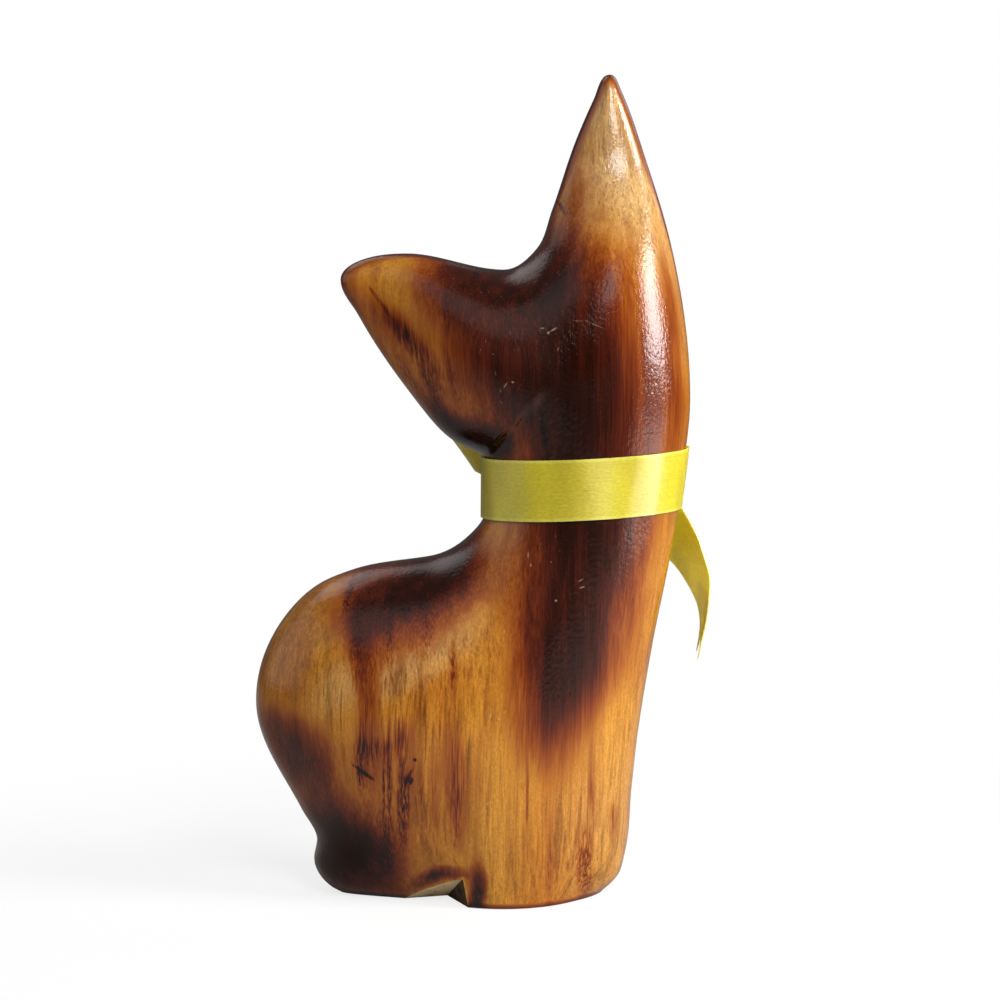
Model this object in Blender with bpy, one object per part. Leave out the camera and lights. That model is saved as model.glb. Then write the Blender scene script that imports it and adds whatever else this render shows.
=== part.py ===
# Carved wooden cat with a satin ribbon tied round its neck.
# Metres, +Z up. The cat sits in the XZ plane with its chest towards +X, the plain back of its
# head towards -Y and its face towards +Y. The origin is on the table, under the block.
import math

import bmesh
import bpy
import numpy as np
from mathutils import Vector
from mathutils.geometry import delaunay_2d_cdt

# Heights of the carved block, stacked from the table up
HEEL_HEIGHT = 0.0130
HAUNCH_RISE = 0.0355
BACK_RISE = 0.0355
NECK_LENGTH = 0.0260
HEAD_HEIGHT = 0.0465
EAR_HEIGHT = 0.0480

# Distances to the left and right of the middle of the neck
NECK_X = 0.0280
NECK_WIDTH = 0.0500
HEEL_REACH = 0.0679
HAUNCH_REACH = 0.0829
EAR_REACH = 0.0611
EAR_TIP_OFFSET = 0.0056
HEAD_FRONT = 0.0259
CHEST_FRONT = 0.0216
SHIN_FRONT = 0.0117
TOE_FRONT = 0.0044
EAR_DROOP = 0.0030
EAR_TIP_RADIUS = 0.0019

# Half thicknesses of the block and the radius that its edges are sanded to
BODY_HALF_THICKNESS = 0.0263
EAR_HALF_THICKNESS = 0.0056
EDGE_RADIUS = 0.0160
EAR_EDGE_RADIUS = 0.0045
THIGH_BULGE = 0.0022
FOOT_BULGE = 0.0030

# Relief of the head
CHEEK_STEP = 0.0022
FACE_RELIEF = 0.0026
MUZZLE_BULGE = 0.0034
HEAD_TILT = math.radians(27.0)
FACE_WIDTH = 0.0520
EYE_LENGTH = 0.0120
EYE_DEPTH = 0.0009
EYE_RIM = 0.0011
EYE_OFFSET = 0.0120
EYE_RAISE = 0.0035
EYE_SLANT = math.radians(14.0)
CREASE = math.radians(48.0)

# Knife cut between the hind foot and the front legs
NOTCH_HEIGHT = 0.0085
NOTCH_REACH = 0.0100
NOTCH_INSET = 0.0073

# Satin ribbon
RIBBON_WIDTH = 0.0150
RIBBON_THICKNESS = 0.0004
RIBBON_GAP = 0.0003
RIBBON_TILT = math.radians(2.8)
RIBBON_DROP = 0.0064
LOOP_LENGTH = 0.0205
LOOP_DEPTH = 0.0072
LEFT_LOOP_RISE = 0.0065
RIGHT_LOOP_RISE = 0.0010
LEFT_LOOP_LEAN = math.radians(36.0)
RIGHT_LOOP_LEAN = math.radians(-14.0)
TAIL_LENGTH = 0.0540
TAIL_FALL = 0.0302
KNOT_WIDTH = 0.0090
KNOT_HEIGHT = 0.0120
KNOT_THICKNESS = 0.0060
KNOT_OFFSET = 0.0080

# Spacing of the surface points
OUTLINE_STEP = 0.0030
GRID_STEP = 0.0040
FACE_GRID_STEP = 0.0024

# Throughout, side is -1 on the plain back of the head (-Y) and +1 on the face side (+Y)

HAUNCH_Z = HEEL_HEIGHT + HAUNCH_RISE
BACK_Z = HAUNCH_Z + BACK_RISE
JAW_Z = BACK_Z + NECK_LENGTH
DIP_Z = JAW_Z + HEAD_HEIGHT
TOP_Z = DIP_Z + EAR_HEIGHT
NECK_LEFT = NECK_X - NECK_WIDTH / 2
EAR_X = NECK_X - EAR_REACH
HEEL_X = NECK_X - HEEL_REACH
HAUNCH_X = NECK_X - HAUNCH_REACH
HEAD_CENTRE = (NECK_X - 0.0080, JAW_Z + 0.0190)
RIBBON_Z = JAW_Z - RIBBON_DROP


def outline_anchors():
    """Points of the sawn outline, clockwise, with a heading in degrees where one is set.

    Below the table the outline goes on as a rounded base, which is sawn off flat.
    """
    return [
        (NECK_X + EAR_TIP_OFFSET, TOP_Z, 0.0),
        (NECK_X + EAR_TIP_OFFSET + 1.5 * EAR_TIP_RADIUS, TOP_Z - 2.1 * EAR_TIP_RADIUS, -65.0),
        (NECK_X + HEAD_FRONT - 0.0113, DIP_Z + 0.0270, None),
        (NECK_X + HEAD_FRONT - 0.0053, DIP_Z + 0.0074, None),
        (NECK_X + HEAD_FRONT, JAW_Z + 0.0140, -90.0),
        (NECK_X + HEAD_FRONT - 0.0013, JAW_Z - 0.0010, None),
        (NECK_X + CHEST_FRONT, BACK_Z + 0.0035, None),
        (NECK_X + CHEST_FRONT - 0.0050, HAUNCH_Z + 0.0130, None),
        (NECK_X + SHIN_FRONT + 0.0013, HAUNCH_Z - 0.0103, None),
        (NECK_X + SHIN_FRONT, HEEL_HEIGHT + 0.0130, None),
        (NECK_X + SHIN_FRONT - 0.0015, HEEL_HEIGHT - 0.0030, None),
        (NECK_X + TOE_FRONT + 0.0041, 0.0042, None),
        (NECK_X + TOE_FRONT, 0.0, -138.0),
        (NECK_X - 0.0060, -0.0200, None),
        (NECK_X - 0.0280, -0.0420, 180.0),
        (NECK_X - 0.0405, -0.0250, 92.0),
        (NECK_X - 0.0412, -0.0080, 104.0),
        (NECK_X - 0.0445, -0.0038, 168.0),
        (HEEL_X + 0.0080, -0.0008, 170.0),
        (HEEL_X - 0.0005, HEEL_HEIGHT - 0.0060, None),
        (HEEL_X + 0.0001, HEEL_HEIGHT + 0.0008, None),
        (HEEL_X - 0.0036, HEEL_HEIGHT + 0.0078, None),
        (HAUNCH_X, HAUNCH_Z, 90.0),
        (HAUNCH_X + 0.0067, HAUNCH_Z + 0.0202, None),
        (HAUNCH_X + 0.0157, HAUNCH_Z + 0.0292, None),
        (HAUNCH_X + 0.0243, BACK_Z - 0.0026, None),
        (NECK_LEFT - 0.0140, BACK_Z + 0.0009, 10.0),
        (NECK_LEFT - 0.0050, BACK_Z + 0.0055, None),
        (NECK_LEFT, BACK_Z + 0.0130, 86.0),
        (NECK_LEFT, JAW_Z - 0.0014, 93.0),
        (NECK_LEFT - 0.0016, JAW_Z + 0.0007, 150.0),
        (NECK_LEFT - 0.0085, JAW_Z + 0.0042, None),
        (NECK_LEFT - 0.0157, JAW_Z + 0.0117, 128.0),
        (EAR_X + 0.0045, DIP_Z - EAR_DROOP - 0.0085, None),
        (EAR_X, DIP_Z - EAR_DROOP + 0.0005, 90.0),
        (EAR_X + 0.0040, DIP_Z - EAR_DROOP + 0.0049, 24.0),
        (EAR_X + 0.0165, DIP_Z - EAR_DROOP + 0.0070, 0.0),
        (NECK_X - 0.0205, DIP_Z, 0.0),
        (NECK_X - 0.0124, DIP_Z + 0.0052, None),
        (NECK_X - 0.0086, DIP_Z + 0.0148, None),
        (NECK_X - 0.0027, DIP_Z + 0.0320, None),
        (NECK_X + EAR_TIP_OFFSET - 2.1 * EAR_TIP_RADIUS, TOP_Z - 3.2 * EAR_TIP_RADIUS, 65.0),
    ]


def headings(anchors):
    """Unit headings at the anchors: as set, or those of a curve through the neighbours."""
    units = []
    for index, (x, z, heading) in enumerate(anchors):
        if heading is not None:
            angle = math.radians(heading)
            units.append(np.array((math.cos(angle), math.sin(angle))))
            continue
        before = np.array((x, z)) - np.array(anchors[index - 1][:2])
        after = np.array(anchors[(index + 1) % len(anchors)][:2]) - np.array((x, z))
        mixed = before / (before @ before) + after / (after @ after)
        units.append(mixed / np.hypot(*mixed))
    return units


def bezier_outline(step):
    """Points along the smooth closed outline, about a step apart and closer round bends."""
    anchors = outline_anchors()
    units = headings(anchors)
    points = []
    for index, anchor in enumerate(anchors):
        following = (index + 1) % len(anchors)
        p0 = np.array(anchor[:2])
        p3 = np.array(anchors[following][:2])
        chord = np.hypot(*(p3 - p0))
        turn = math.acos(max(-1.0, min(1.0, float(units[index] @ units[following]))))
        reach = chord / (3.0 * math.cos(min(turn, 2.1) / 4.0))
        p1 = p0 + reach * units[index]
        p2 = p3 - reach * units[following]
        count = max(1, math.ceil(chord / step), math.ceil(turn / math.radians(18.0)))
        for k in range(count):
            t = k / count
            s = 1.0 - t
            points.append(s**3 * p0 + 3 * s * s * t * p1 + 3 * s * t * t * p2 + t**3 * p3)
    return np.array(points)


FINE_OUTLINE = bezier_outline(0.0015)


def smoothstep(value):
    t = np.clip(value, 0.0, 1.0)
    return t * t * (3.0 - 2.0 * t)


def bump(x, z, centre, radius_x, radius_z):
    return np.exp(-(((x - centre[0]) / radius_x) ** 2) - ((z - centre[1]) / radius_z) ** 2)


def edge_distance(x, z):
    """Smooth distance to the outline: exact close to it, and soft along the middle line."""
    start = FINE_OUTLINE
    along = np.roll(FINE_OUTLINE, -1, axis=0) - start
    length = np.hypot(along[:, 0], along[:, 1])
    unit = along / length[:, None]
    dx = x[:, None] - start[None, :, 0]
    dz = z[:, None] - start[None, :, 1]
    s0 = -(dx * unit[:, 0] + dz * unit[:, 1])
    s1 = s0 + length
    h2 = (dx * unit[:, 1] - dz * unit[:, 0]) ** 2 + 1e-11
    pull = (s1 / np.sqrt(h2 + s1 * s1) - s0 / np.sqrt(h2 + s0 * s0)) / h2
    return np.sqrt(2.0 / pull.sum(axis=1))


def face_frame(x, z):
    """Place on the face: across it, and up it along the tilted middle line of the head."""
    dx = x - HEAD_CENTRE[0]
    dz = z - HEAD_CENTRE[1]
    across = dx * math.cos(HEAD_TILT) + dz * math.sin(HEAD_TILT)
    up = dz * math.cos(HEAD_TILT) - dx * math.sin(HEAD_TILT)
    return across, up


def chin_line(across):
    """Height up the face of the lower edge of the head, at a place across it."""
    half = FACE_WIDTH / 2
    return -0.0240 + 0.0135 * (across / half) ** 2 * (across < 0) + 0.0045 * (across / half) ** 2


def cheek_relief(x, z):
    """Back of the head: the cheek stands proud of the neck along a crease from the jaw."""
    dx = x - (NECK_LEFT - 0.0005)
    dz = z - (JAW_Z + 0.0005)
    along = dx * math.cos(CREASE) + dz * math.sin(CREASE)
    off = dx * math.sin(CREASE) - dz * math.cos(CREASE)
    fade = smoothstep((0.0260 - along) / 0.0220) * smoothstep((along + 0.0140) / 0.0080)
    wall = smoothstep(off / 0.0018 + 0.5)
    return -CHEEK_STEP * fade * wall * np.exp(-np.clip(off, 0.0, None) / 0.0110)


def face_relief(x, z):
    """Face side: the head stands proud of the neck, with a muzzle and hollows for the eyes."""
    across, up = face_frame(x, z)
    below = chin_line(across) - up
    wall = smoothstep(below / 0.0024 + 0.5)
    recess = -FACE_RELIEF * wall * np.exp(-np.clip(below - 0.0080, 0.0, None) / 0.0200)
    muzzle = MUZZLE_BULGE * bump(across, up, (0.0005, -0.0120), 0.0092, 0.0080)
    bridge = 0.4 * MUZZLE_BULGE * bump(across, up, (0.0, 0.0020), 0.0042, 0.0110)
    return recess + muzzle + bridge


def to_block(across, up):
    """A place on the face as a point in the plane of the block."""
    return np.array((
        HEAD_CENTRE[0] + across * math.cos(HEAD_TILT) - up * math.sin(HEAD_TILT),
        HEAD_CENTRE[1] + across * math.sin(HEAD_TILT) + up * math.cos(HEAD_TILT),
    ))


def eye_row(side, inset, count):
    """Almond of one eye, drawn in by an inset, as points in the plane of the block."""
    points = []
    for k in range(count):
        turn = 2.0 * math.pi * k / count
        u = (0.5 * EYE_LENGTH - 1.4 * inset) * math.cos(turn)
        almond = (1.0 - min(1.0, (2.0 * u / EYE_LENGTH) ** 2)) ** 0.675
        w = max(0.27 * EYE_LENGTH * almond - inset, 0.0) * math.copysign(1.0, math.sin(turn))
        slant = side * EYE_SLANT
        points.append(to_block(
            side * EYE_OFFSET + u * math.cos(slant) - w * math.sin(slant),
            EYE_RAISE + u * math.sin(slant) + w * math.cos(slant),
        ))
    return points


def feature_rows(side):
    """Points along the carved lines of a side, so that the surface breaks cleanly there."""
    points = []
    if side < 0:
        for off in (-0.0009, 0.0009):
            for k in range(12):
                along = -0.0010 + 0.0024 * k
                points.append(np.array((
                    NECK_LEFT - 0.0005 + along * math.cos(CREASE) + off * math.sin(CREASE),
                    JAW_Z + 0.0005 + along * math.sin(CREASE) - off * math.cos(CREASE),
                )))
        return points
    for below in (-0.0012, 0.0012):
        for k in range(24):
            across = FACE_WIDTH * (k / 23.0 - 0.5)
            points.append(to_block(across, chin_line(across) - below))
    for side in (-1.0, 1.0):
        for inset, count in ((0.0, 14), (EYE_RIM, 12)):
            points.extend(eye_row(side, inset, count))
        points.append(to_block(side * EYE_OFFSET, EYE_RAISE))
    return points


def eye_relief(x, z):
    """Each eye is a sunk almond with a domed ball inside its rim."""
    across, up = face_frame(x, z)
    depth = np.zeros_like(x)
    for side in (-1.0, 1.0):
        slant = side * EYE_SLANT
        out = across - side * EYE_OFFSET
        u = out * math.cos(slant) + (up - EYE_RAISE) * math.sin(slant)
        w = (up - EYE_RAISE) * math.cos(slant) - out * math.sin(slant)
        almond = np.clip(1.0 - (2.0 * u / EYE_LENGTH) ** 2, 0.0, 1.0) ** 0.675
        inside = 0.27 * EYE_LENGTH * almond - np.abs(w)
        rim = np.clip(inside / EYE_RIM, 0.0, 1.0)
        ball = 0.7 * smoothstep(inside / (0.27 * EYE_LENGTH))
        depth -= EYE_DEPTH * rim * (1.0 - ball)
    return depth


def half_thickness(x, z, side):
    """Distance from the middle plane of the block to its carved surface."""
    x = np.atleast_1d(np.asarray(x, dtype=float))
    z = np.atleast_1d(np.asarray(z, dtype=float))
    distance = edge_distance(x, z)
    top_ear = smoothstep((z - (DIP_Z - 0.0080)) / (EAR_HEIGHT - 0.0100))
    side_ear = smoothstep((NECK_LEFT + 0.0060 - x) / (EAR_REACH - 0.0250))
    side_ear = side_ear * smoothstep((z - JAW_Z) / 0.0100)
    thin = np.maximum(top_ear, side_ear)
    full = BODY_HALF_THICKNESS + (EAR_HALF_THICKNESS - BODY_HALF_THICKNESS) * thin
    radius = EDGE_RADIUS + (EAR_EDGE_RADIUS - EDGE_RADIUS) * thin
    rounding = full * full / (2.0 * radius)
    height = full * np.sqrt(1.0 - np.exp(-distance / rounding))
    inner = smoothstep(distance / 0.0120)
    thigh = (HAUNCH_X + 0.0370, HAUNCH_Z - 0.0020)
    height = height + THIGH_BULGE * inner * bump(x, z, thigh, 0.0260, 0.0300)
    height = height + FOOT_BULGE * inner * bump(x, z, (NECK_X - 0.0180, 0.0), 0.0180, 0.0300)
    if side < 0:
        relief = cheek_relief(x, z)
    else:
        relief = face_relief(x, z) + eye_relief(x, z)
    return np.clip(height + relief * smoothstep(distance / 0.0080), 0.0, None)


def inside_outline(x, z, outline):
    """True where a point lies inside the closed outline."""
    x0, z0 = outline[:, 0], outline[:, 1]
    x1, z1 = np.roll(x0, -1), np.roll(z0, -1)
    crosses = (z0[None, :] > z[:, None]) != (z1[None, :] > z[:, None])
    slope = (x1 - x0) / np.where(z1 == z0, 1e-12, z1 - z0)
    hits = crosses & (x[:, None] < x0[None, :] + (z[:, None] - z0[None, :]) * slope[None, :])
    return hits.sum(axis=1) % 2 == 1


def nearest_distance(points, others):
    """Distance from each point to the nearest of the others."""
    gap = points[:, None, :] - np.asarray(others)[None, :, :]
    return np.sqrt((gap * gap).sum(axis=2).min(axis=1))


def crossing(direction):
    """Where the outline meets the table, at the heel (-1) or at the toe (+1)."""
    best = None
    for a, b in zip(FINE_OUTLINE, np.roll(FINE_OUTLINE, -1, axis=0)):
        if (a[1] > 0.0) != (b[1] > 0.0):
            x = a[0] + a[1] / (a[1] - b[1]) * (b[0] - a[0])
            if best is None or x * direction > best * direction:
                best = x
    return np.array((best, 0.0))


def rim_points():
    """The outline above the table, clockwise from the heel corner over the ears to the toe."""
    outline = bezier_outline(OUTLINE_STEP)
    low = 0.0005
    first = max(k for k in range(len(outline)) if outline[k][1] < low) + 1
    turned = np.roll(outline, -first, axis=0)
    kept = turned[turned[:, 1] >= low]
    return [crossing(-1.0), *kept, crossing(1.0)]


def edge_rows(closed, offsets):
    """Rows of points that follow the rim inward, without crowding."""
    after = np.roll(closed, -1, axis=0)
    tangent = after - np.roll(closed, 1, axis=0)
    tangent /= np.hypot(tangent[:, 0], tangent[:, 1])[:, None]
    inward = np.stack([tangent[:, 1], -tangent[:, 0]], axis=1)
    rows = np.zeros((0, 2))
    for offset in offsets:
        row = closed + offset * inward
        good = inside_outline(row[:, 0], row[:, 1], closed) & (row[:, 1] > 0.0012)
        good &= nearest_distance(row, closed) > 0.93 * offset
        for point in row[good]:
            if not len(rows) or nearest_distance(point[None], rows)[0] > 0.55 * OUTLINE_STEP:
                rows = np.vstack([rows, point])
    return rows


def hex_grid(step):
    """An even grid of points over the block, every other row half a step along."""
    rise = step * math.sqrt(3.0) / 2.0
    points = []
    for row in range(1, int(TOP_Z / rise)):
        start = HAUNCH_X + (0.5 * step if row % 2 else 0.0)
        for x in np.arange(start, NECK_X + HEAD_FRONT, step):
            points.append((x, row * rise))
    return np.array(points)


def surface_points(side, loop):
    """Points inside the rim for one side: edge rows, carved lines, then an even grid."""
    closed = np.array(loop)
    offsets = [EDGE_RADIUS * (1.0 - math.cos(math.radians(angle))) for angle in (16, 32, 48)]
    lines = np.array(feature_rows(side))
    lines = lines[inside_outline(lines[:, 0], lines[:, 1], closed)]
    lines = lines[nearest_distance(lines, closed) > 0.0012]
    rows = edge_rows(closed, offsets)
    rows = rows[nearest_distance(rows, lines) > 0.0012]
    placed = np.vstack([closed, lines, rows])
    steps = (FACE_GRID_STEP, GRID_STEP) if side > 0 else (GRID_STEP,)
    for step in steps:
        grid = hex_grid(step)
        if step == FACE_GRID_STEP:
            across, up = face_frame(grid[:, 0], grid[:, 1])
            grid = grid[(np.abs(across) < 0.5 * FACE_WIDTH) & (up > -0.0290) & (up < 0.0110)]
        grid = grid[inside_outline(grid[:, 0], grid[:, 1], closed)]
        grid = grid[nearest_distance(grid, closed) > offsets[-1]]
        grid = grid[nearest_distance(grid, placed[len(closed):]) > 0.62 * step]
        placed = np.vstack([placed, grid])
    return placed


def base_points(heel, toe):
    """Points along the sawn base between the heel and the toe, closer at the rounded ends."""
    count = 26
    points = []
    for k in range(1, count):
        t = 0.5 - 0.5 * math.cos(math.pi * k / count)
        points.append(toe + t * (heel - toe))
    return points


def body_mesh():
    """Both carved sides sewn along the outline and closed by the flat base."""
    rim = rim_points()
    base = base_points(rim[0], rim[-1])
    loop = rim + base
    mesh = bmesh.new()
    shared = [mesh.verts.new((x, 0.0, z)) for x, z in rim]
    base_rows = {}
    for side in (-1, 1):
        placed = surface_points(side, loop)
        flat = [Vector((float(p[0]), float(p[1]))) for p in placed]
        edges = [(k, (k + 1) % len(loop)) for k in range(len(loop))]
        points, _, faces, origins, _, _ = delaunay_2d_cdt(flat, edges, [], 1, 1e-7)
        x = np.array([p.x for p in points])
        z = np.array([p.y for p in points])
        height = half_thickness(x, z, side)
        verts = []
        row = {}
        for index, origin in enumerate(origins):
            source = min(origin) if origin else len(placed)
            if source < len(rim):
                verts.append(shared[source])
                continue
            vert = mesh.verts.new((x[index], side * height[index], z[index]))
            verts.append(vert)
            if source < len(loop):
                vert.co.z = 0.0
                row[source] = vert
        base_rows[side] = [row[k] for k in range(len(rim), len(loop))]
        for a, b, c in faces:
            corners = (verts[a], verts[b], verts[c])
            mesh.faces.new(corners if side < 0 else corners[::-1])
    near = base_rows[-1]
    far = base_rows[1]
    mesh.faces.new([shared[-1]] + near + [shared[0]] + far[::-1])
    bmesh.ops.recalc_face_normals(mesh, faces=mesh.faces)
    return mesh


def notch_mesh():
    """Two mirrored cuts between the hind foot and the front legs.

    Each is a tent with its ridge rising outward from a point on the base to the surface.
    """
    mesh = bmesh.new()
    sunk = -0.0050
    for side in (-1, 1):
        deep = Vector((NECK_X - 0.0347, side * NOTCH_INSET, 0.0))
        top = Vector((NECK_X - 0.0301, side * 0.9 * BODY_HALF_THICKNESS, NOTCH_HEIGHT))
        left = Vector((deep.x - NOTCH_REACH, side * (NOTCH_INSET + 0.0030), 0.0))
        right = Vector((NECK_X - 0.0281, side * 0.9 * BODY_HALF_THICKNESS, 0.0))
        outer = side * 1.6 * BODY_HALF_THICKNESS
        start = deep + (top - deep) * (sunk / NOTCH_HEIGHT)
        corners = [start, start + (top - deep) * ((outer - start.y) / (top.y - deep.y))]
        for foot in (left, right):
            corners.append(start + (foot - deep) * ((outer - start.y) / (foot.y - deep.y)))
        verts = [mesh.verts.new(corner) for corner in corners]
        for a, b, c in ((0, 1, 2), (0, 3, 1), (0, 2, 3), (1, 3, 2)):
            mesh.faces.new((verts[a], verts[b], verts[c]))
    bmesh.ops.recalc_face_normals(mesh, faces=mesh.faces)
    return mesh


def neck_reach(angle, rise):
    """Distance from the middle line of the neck to its surface, at an angle and a height."""
    direction = (math.cos(angle), math.sin(angle))
    reach = np.arange(0.0, 1.6 * NECK_WIDTH, 0.00025)
    x = NECK_X + reach * direction[0]
    z = np.full_like(x, rise) + math.tan(RIBBON_TILT) * (x - NECK_X)
    y = reach * direction[1]
    side = -1 if direction[1] < 0 else 1
    within = inside_outline(x, z, FINE_OUTLINE)
    clear = np.where(within, half_thickness(x, z, side), 0.0) - np.abs(y)
    outside = np.nonzero(~within | (clear <= 0.0))[0]
    return reach[outside[outside > 0][0]]


def collar_reach(angle):
    """Inner radii of the ribbon at its lower and upper edge, clear of the neck by the gap."""
    stations = (0.0, 0.25, 0.5, 0.75, 1.0)
    reaches = [neck_reach(angle, RIBBON_Z + (t - 0.5) * RIBBON_WIDTH) for t in stations]
    low, high = reaches[0], reaches[-1]
    over = max(r - (low + t * (high - low)) for t, r in zip(stations, reaches))
    slack = RIBBON_GAP + 0.0001
    return low + over + slack, high + over + slack


COLLAR_STEPS = 72
COLLAR = [collar_reach(2.0 * math.pi * k / COLLAR_STEPS) for k in range(COLLAR_STEPS)]


def collar_radii(angle):
    """Collar radii between the measured stations, eased over their neighbours."""
    place = angle / (2.0 * math.pi) * COLLAR_STEPS
    first = math.floor(place)
    t = place - first
    low0, high0 = COLLAR[first % COLLAR_STEPS]
    low1, high1 = COLLAR[(first + 1) % COLLAR_STEPS]
    return low0 + t * (low1 - low0), high0 + t * (high1 - high0)


def collar_point(angle, width_share, outward):
    """A point on the collar: width_share 0 to 1 up the ribbon, outward from its inner face."""
    low, high = collar_radii(angle)
    reach = low + width_share * (high - low) + outward
    x = NECK_X + reach * math.cos(angle)
    z = RIBBON_Z + (width_share - 0.5) * RIBBON_WIDTH + math.tan(RIBBON_TILT) * (x - NECK_X)
    return Vector((x, reach * math.sin(angle), z))


def collar_mesh():
    """The turn of ribbon round the neck, a closed band with straight edges."""
    mesh = bmesh.new()
    shares = (0.0, 0.5, 1.0)
    rings = []
    for k in range(COLLAR_STEPS):
        angle = 2.0 * math.pi * k / COLLAR_STEPS
        inner = [collar_point(angle, share, 0.0) for share in shares]
        outer = [collar_point(angle, share, RIBBON_THICKNESS) for share in reversed(shares)]
        rings.append([mesh.verts.new(point) for point in inner + outer])
    for k, ring in enumerate(rings):
        following = rings[(k + 1) % len(rings)]
        for j in range(len(ring)):
            i = (j + 1) % len(ring)
            mesh.faces.new((ring[j], ring[i], following[i], following[j]))
    bmesh.ops.recalc_face_normals(mesh, faces=mesh.faces)
    return mesh


def path_row(table, place):
    """Values of a smooth curve through the rows of a table, at a place from 0 to 1."""
    place = place * (len(table) - 1)
    first = min(int(place), len(table) - 2)
    t = place - first
    p1, p2 = table[first], table[first + 1]
    p0 = table[first - 1] if first > 0 else 2 * p1 - p2
    p3 = table[first + 2] if first + 2 < len(table) else 2 * p2 - p1
    return 0.5 * (
        2 * p1 + (p2 - p0) * t + (2 * p0 - 5 * p1 + 4 * p2 - p3) * t * t
        + (3 * p1 - p0 - 3 * p2 + p3) * t**3
    )


def strip_mesh(stations, count, notch=0.0):
    """A thin closed strip of ribbon along a smooth path.

    Each station holds a point of the middle line and the width vector there. A notch is the
    share of the length that a swallowtail cuts out of the middle of the far end.
    """
    table = np.array(stations, dtype=float)
    shares = (-1.0, -0.5, 0.0, 0.5, 1.0)
    mesh = bmesh.new()
    sections = []
    for k in range(count):
        lower = []
        upper = []
        for share in shares:
            place = k / (count - 1) * (1.0 - notch * (1.0 - abs(share)))
            row = path_row(table, place)
            ahead = path_row(table, min(place + 0.01, 1.0)) - path_row(table, max(place - 0.01, 0.0))
            width = Vector(row[3:6])
            normal = Vector(ahead[0:3]).cross(width).normalized()
            point = Vector(row[0:3]) + 0.5 * share * width
            lower.append(mesh.verts.new(point - 0.5 * RIBBON_THICKNESS * normal))
            upper.append(mesh.verts.new(point + 0.5 * RIBBON_THICKNESS * normal))
        sections.append(lower + upper[::-1])
    for first, second in zip(sections, sections[1:]):
        for j in range(len(first)):
            i = (j + 1) % len(first)
            mesh.faces.new((first[j], first[i], second[i], second[j]))
    for section in (sections[0], sections[-1]):
        for j in range(len(shares) - 1):
            i = len(section) - 1 - j
            mesh.faces.new((section[j], section[j + 1], section[i - 1], section[i]))
    bmesh.ops.recalc_face_normals(mesh, faces=mesh.faces)
    return mesh


# Half width of the rounded knot where the loops and tails come out of it
KNOT_SIDE = 0.42 * KNOT_WIDTH


def collar_front(x0, x1):
    """How far the collar stands out on the face side, over a stretch of its length."""
    reach = 0.0
    for k in range(COLLAR_STEPS // 2):
        for share in (0.0, 0.5, 1.0):
            point = collar_point(2.0 * math.pi * k / COLLAR_STEPS, share, RIBBON_THICKNESS)
            if x0 <= point.x <= x1:
                reach = max(reach, point.y)
    return reach


def knot_place():
    """Middle of the knot, lying on the collar on the face side of the neck."""
    x = NECK_X - KNOT_OFFSET
    front = collar_front(x - 0.3 * KNOT_WIDTH, x + 0.3 * KNOT_WIDTH)
    y = front + RIBBON_GAP + 0.5 * KNOT_THICKNESS
    return Vector((x, y, RIBBON_Z - math.tan(RIBBON_TILT) * KNOT_OFFSET))


def knot_mesh():
    """The tight fold of ribbon across the middle of the bow, a soft-edged block."""
    centre = knot_place()
    mesh = bmesh.new()
    rings = []
    levels = 9
    for k in range(1, levels):
        latitude = math.pi * (k / levels - 0.5)
        rise = math.copysign(abs(math.sin(latitude)) ** 0.5, math.sin(latitude))
        round_in = math.cos(latitude) ** 0.5
        ring = []
        for j in range(20):
            turn = 2.0 * math.pi * j / 20
            u = math.copysign(abs(math.cos(turn)) ** 0.6, math.cos(turn)) * round_in
            w = math.copysign(abs(math.sin(turn)) ** 0.6, math.sin(turn)) * round_in
            waist = 0.86 + 0.14 * rise * rise
            ring.append(mesh.verts.new(centre + Vector((
                0.5 * KNOT_WIDTH * waist * u,
                0.5 * KNOT_THICKNESS * w,
                0.5 * KNOT_HEIGHT * rise,
            ))))
        rings.append(ring)
    for lower, upper in zip(rings, rings[1:]):
        for j in range(len(lower)):
            i = (j + 1) % len(lower)
            mesh.faces.new((lower[j], lower[i], upper[i], upper[j]))
    mesh.faces.new(rings[0][::-1])
    mesh.faces.new(rings[-1])
    bmesh.ops.recalc_face_normals(mesh, faces=mesh.faces)
    return mesh


def loop_mesh(direction, lean, lift):
    """One loop of the bow, out from the knot and back, gathered where it enters the knot.

    direction is -1 for the left loop and +1 for the right one. lean tips the fold of its far
    end, and lift raises it.
    """
    centre = knot_place()
    entry = KNOT_SIDE + RIBBON_GAP
    gathered = 0.55 * RIBBON_WIDTH
    out = LOOP_LENGTH
    stations = []
    profile = (
        (0.00, 0.19, 0.00, 0.00), (0.22, 0.56, 0.45, 0.10), (0.55, 0.89, 0.90, 0.45),
        (0.86, 0.81, 1.00, 0.85), (1.00, 0.39, 1.00, 1.00), (0.88, 0.03, 1.00, 0.88),
        (0.55, -0.03, 0.80, 0.50), (0.22, -0.08, 0.35, 0.12), (0.00, -0.11, 0.00, 0.00),
    )
    for reach, outward, spread, turn in profile:
        width = gathered + spread * (RIBBON_WIDTH - gathered)
        angle = lean * turn
        stations.append((
            centre.x + direction * (entry + reach * out),
            centre.y + outward * LOOP_DEPTH,
            centre.z + lift * turn,
            direction * width * math.sin(angle),
            0.0,
            width * math.cos(angle),
        ))
    return strip_mesh(stations, 33)


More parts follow.
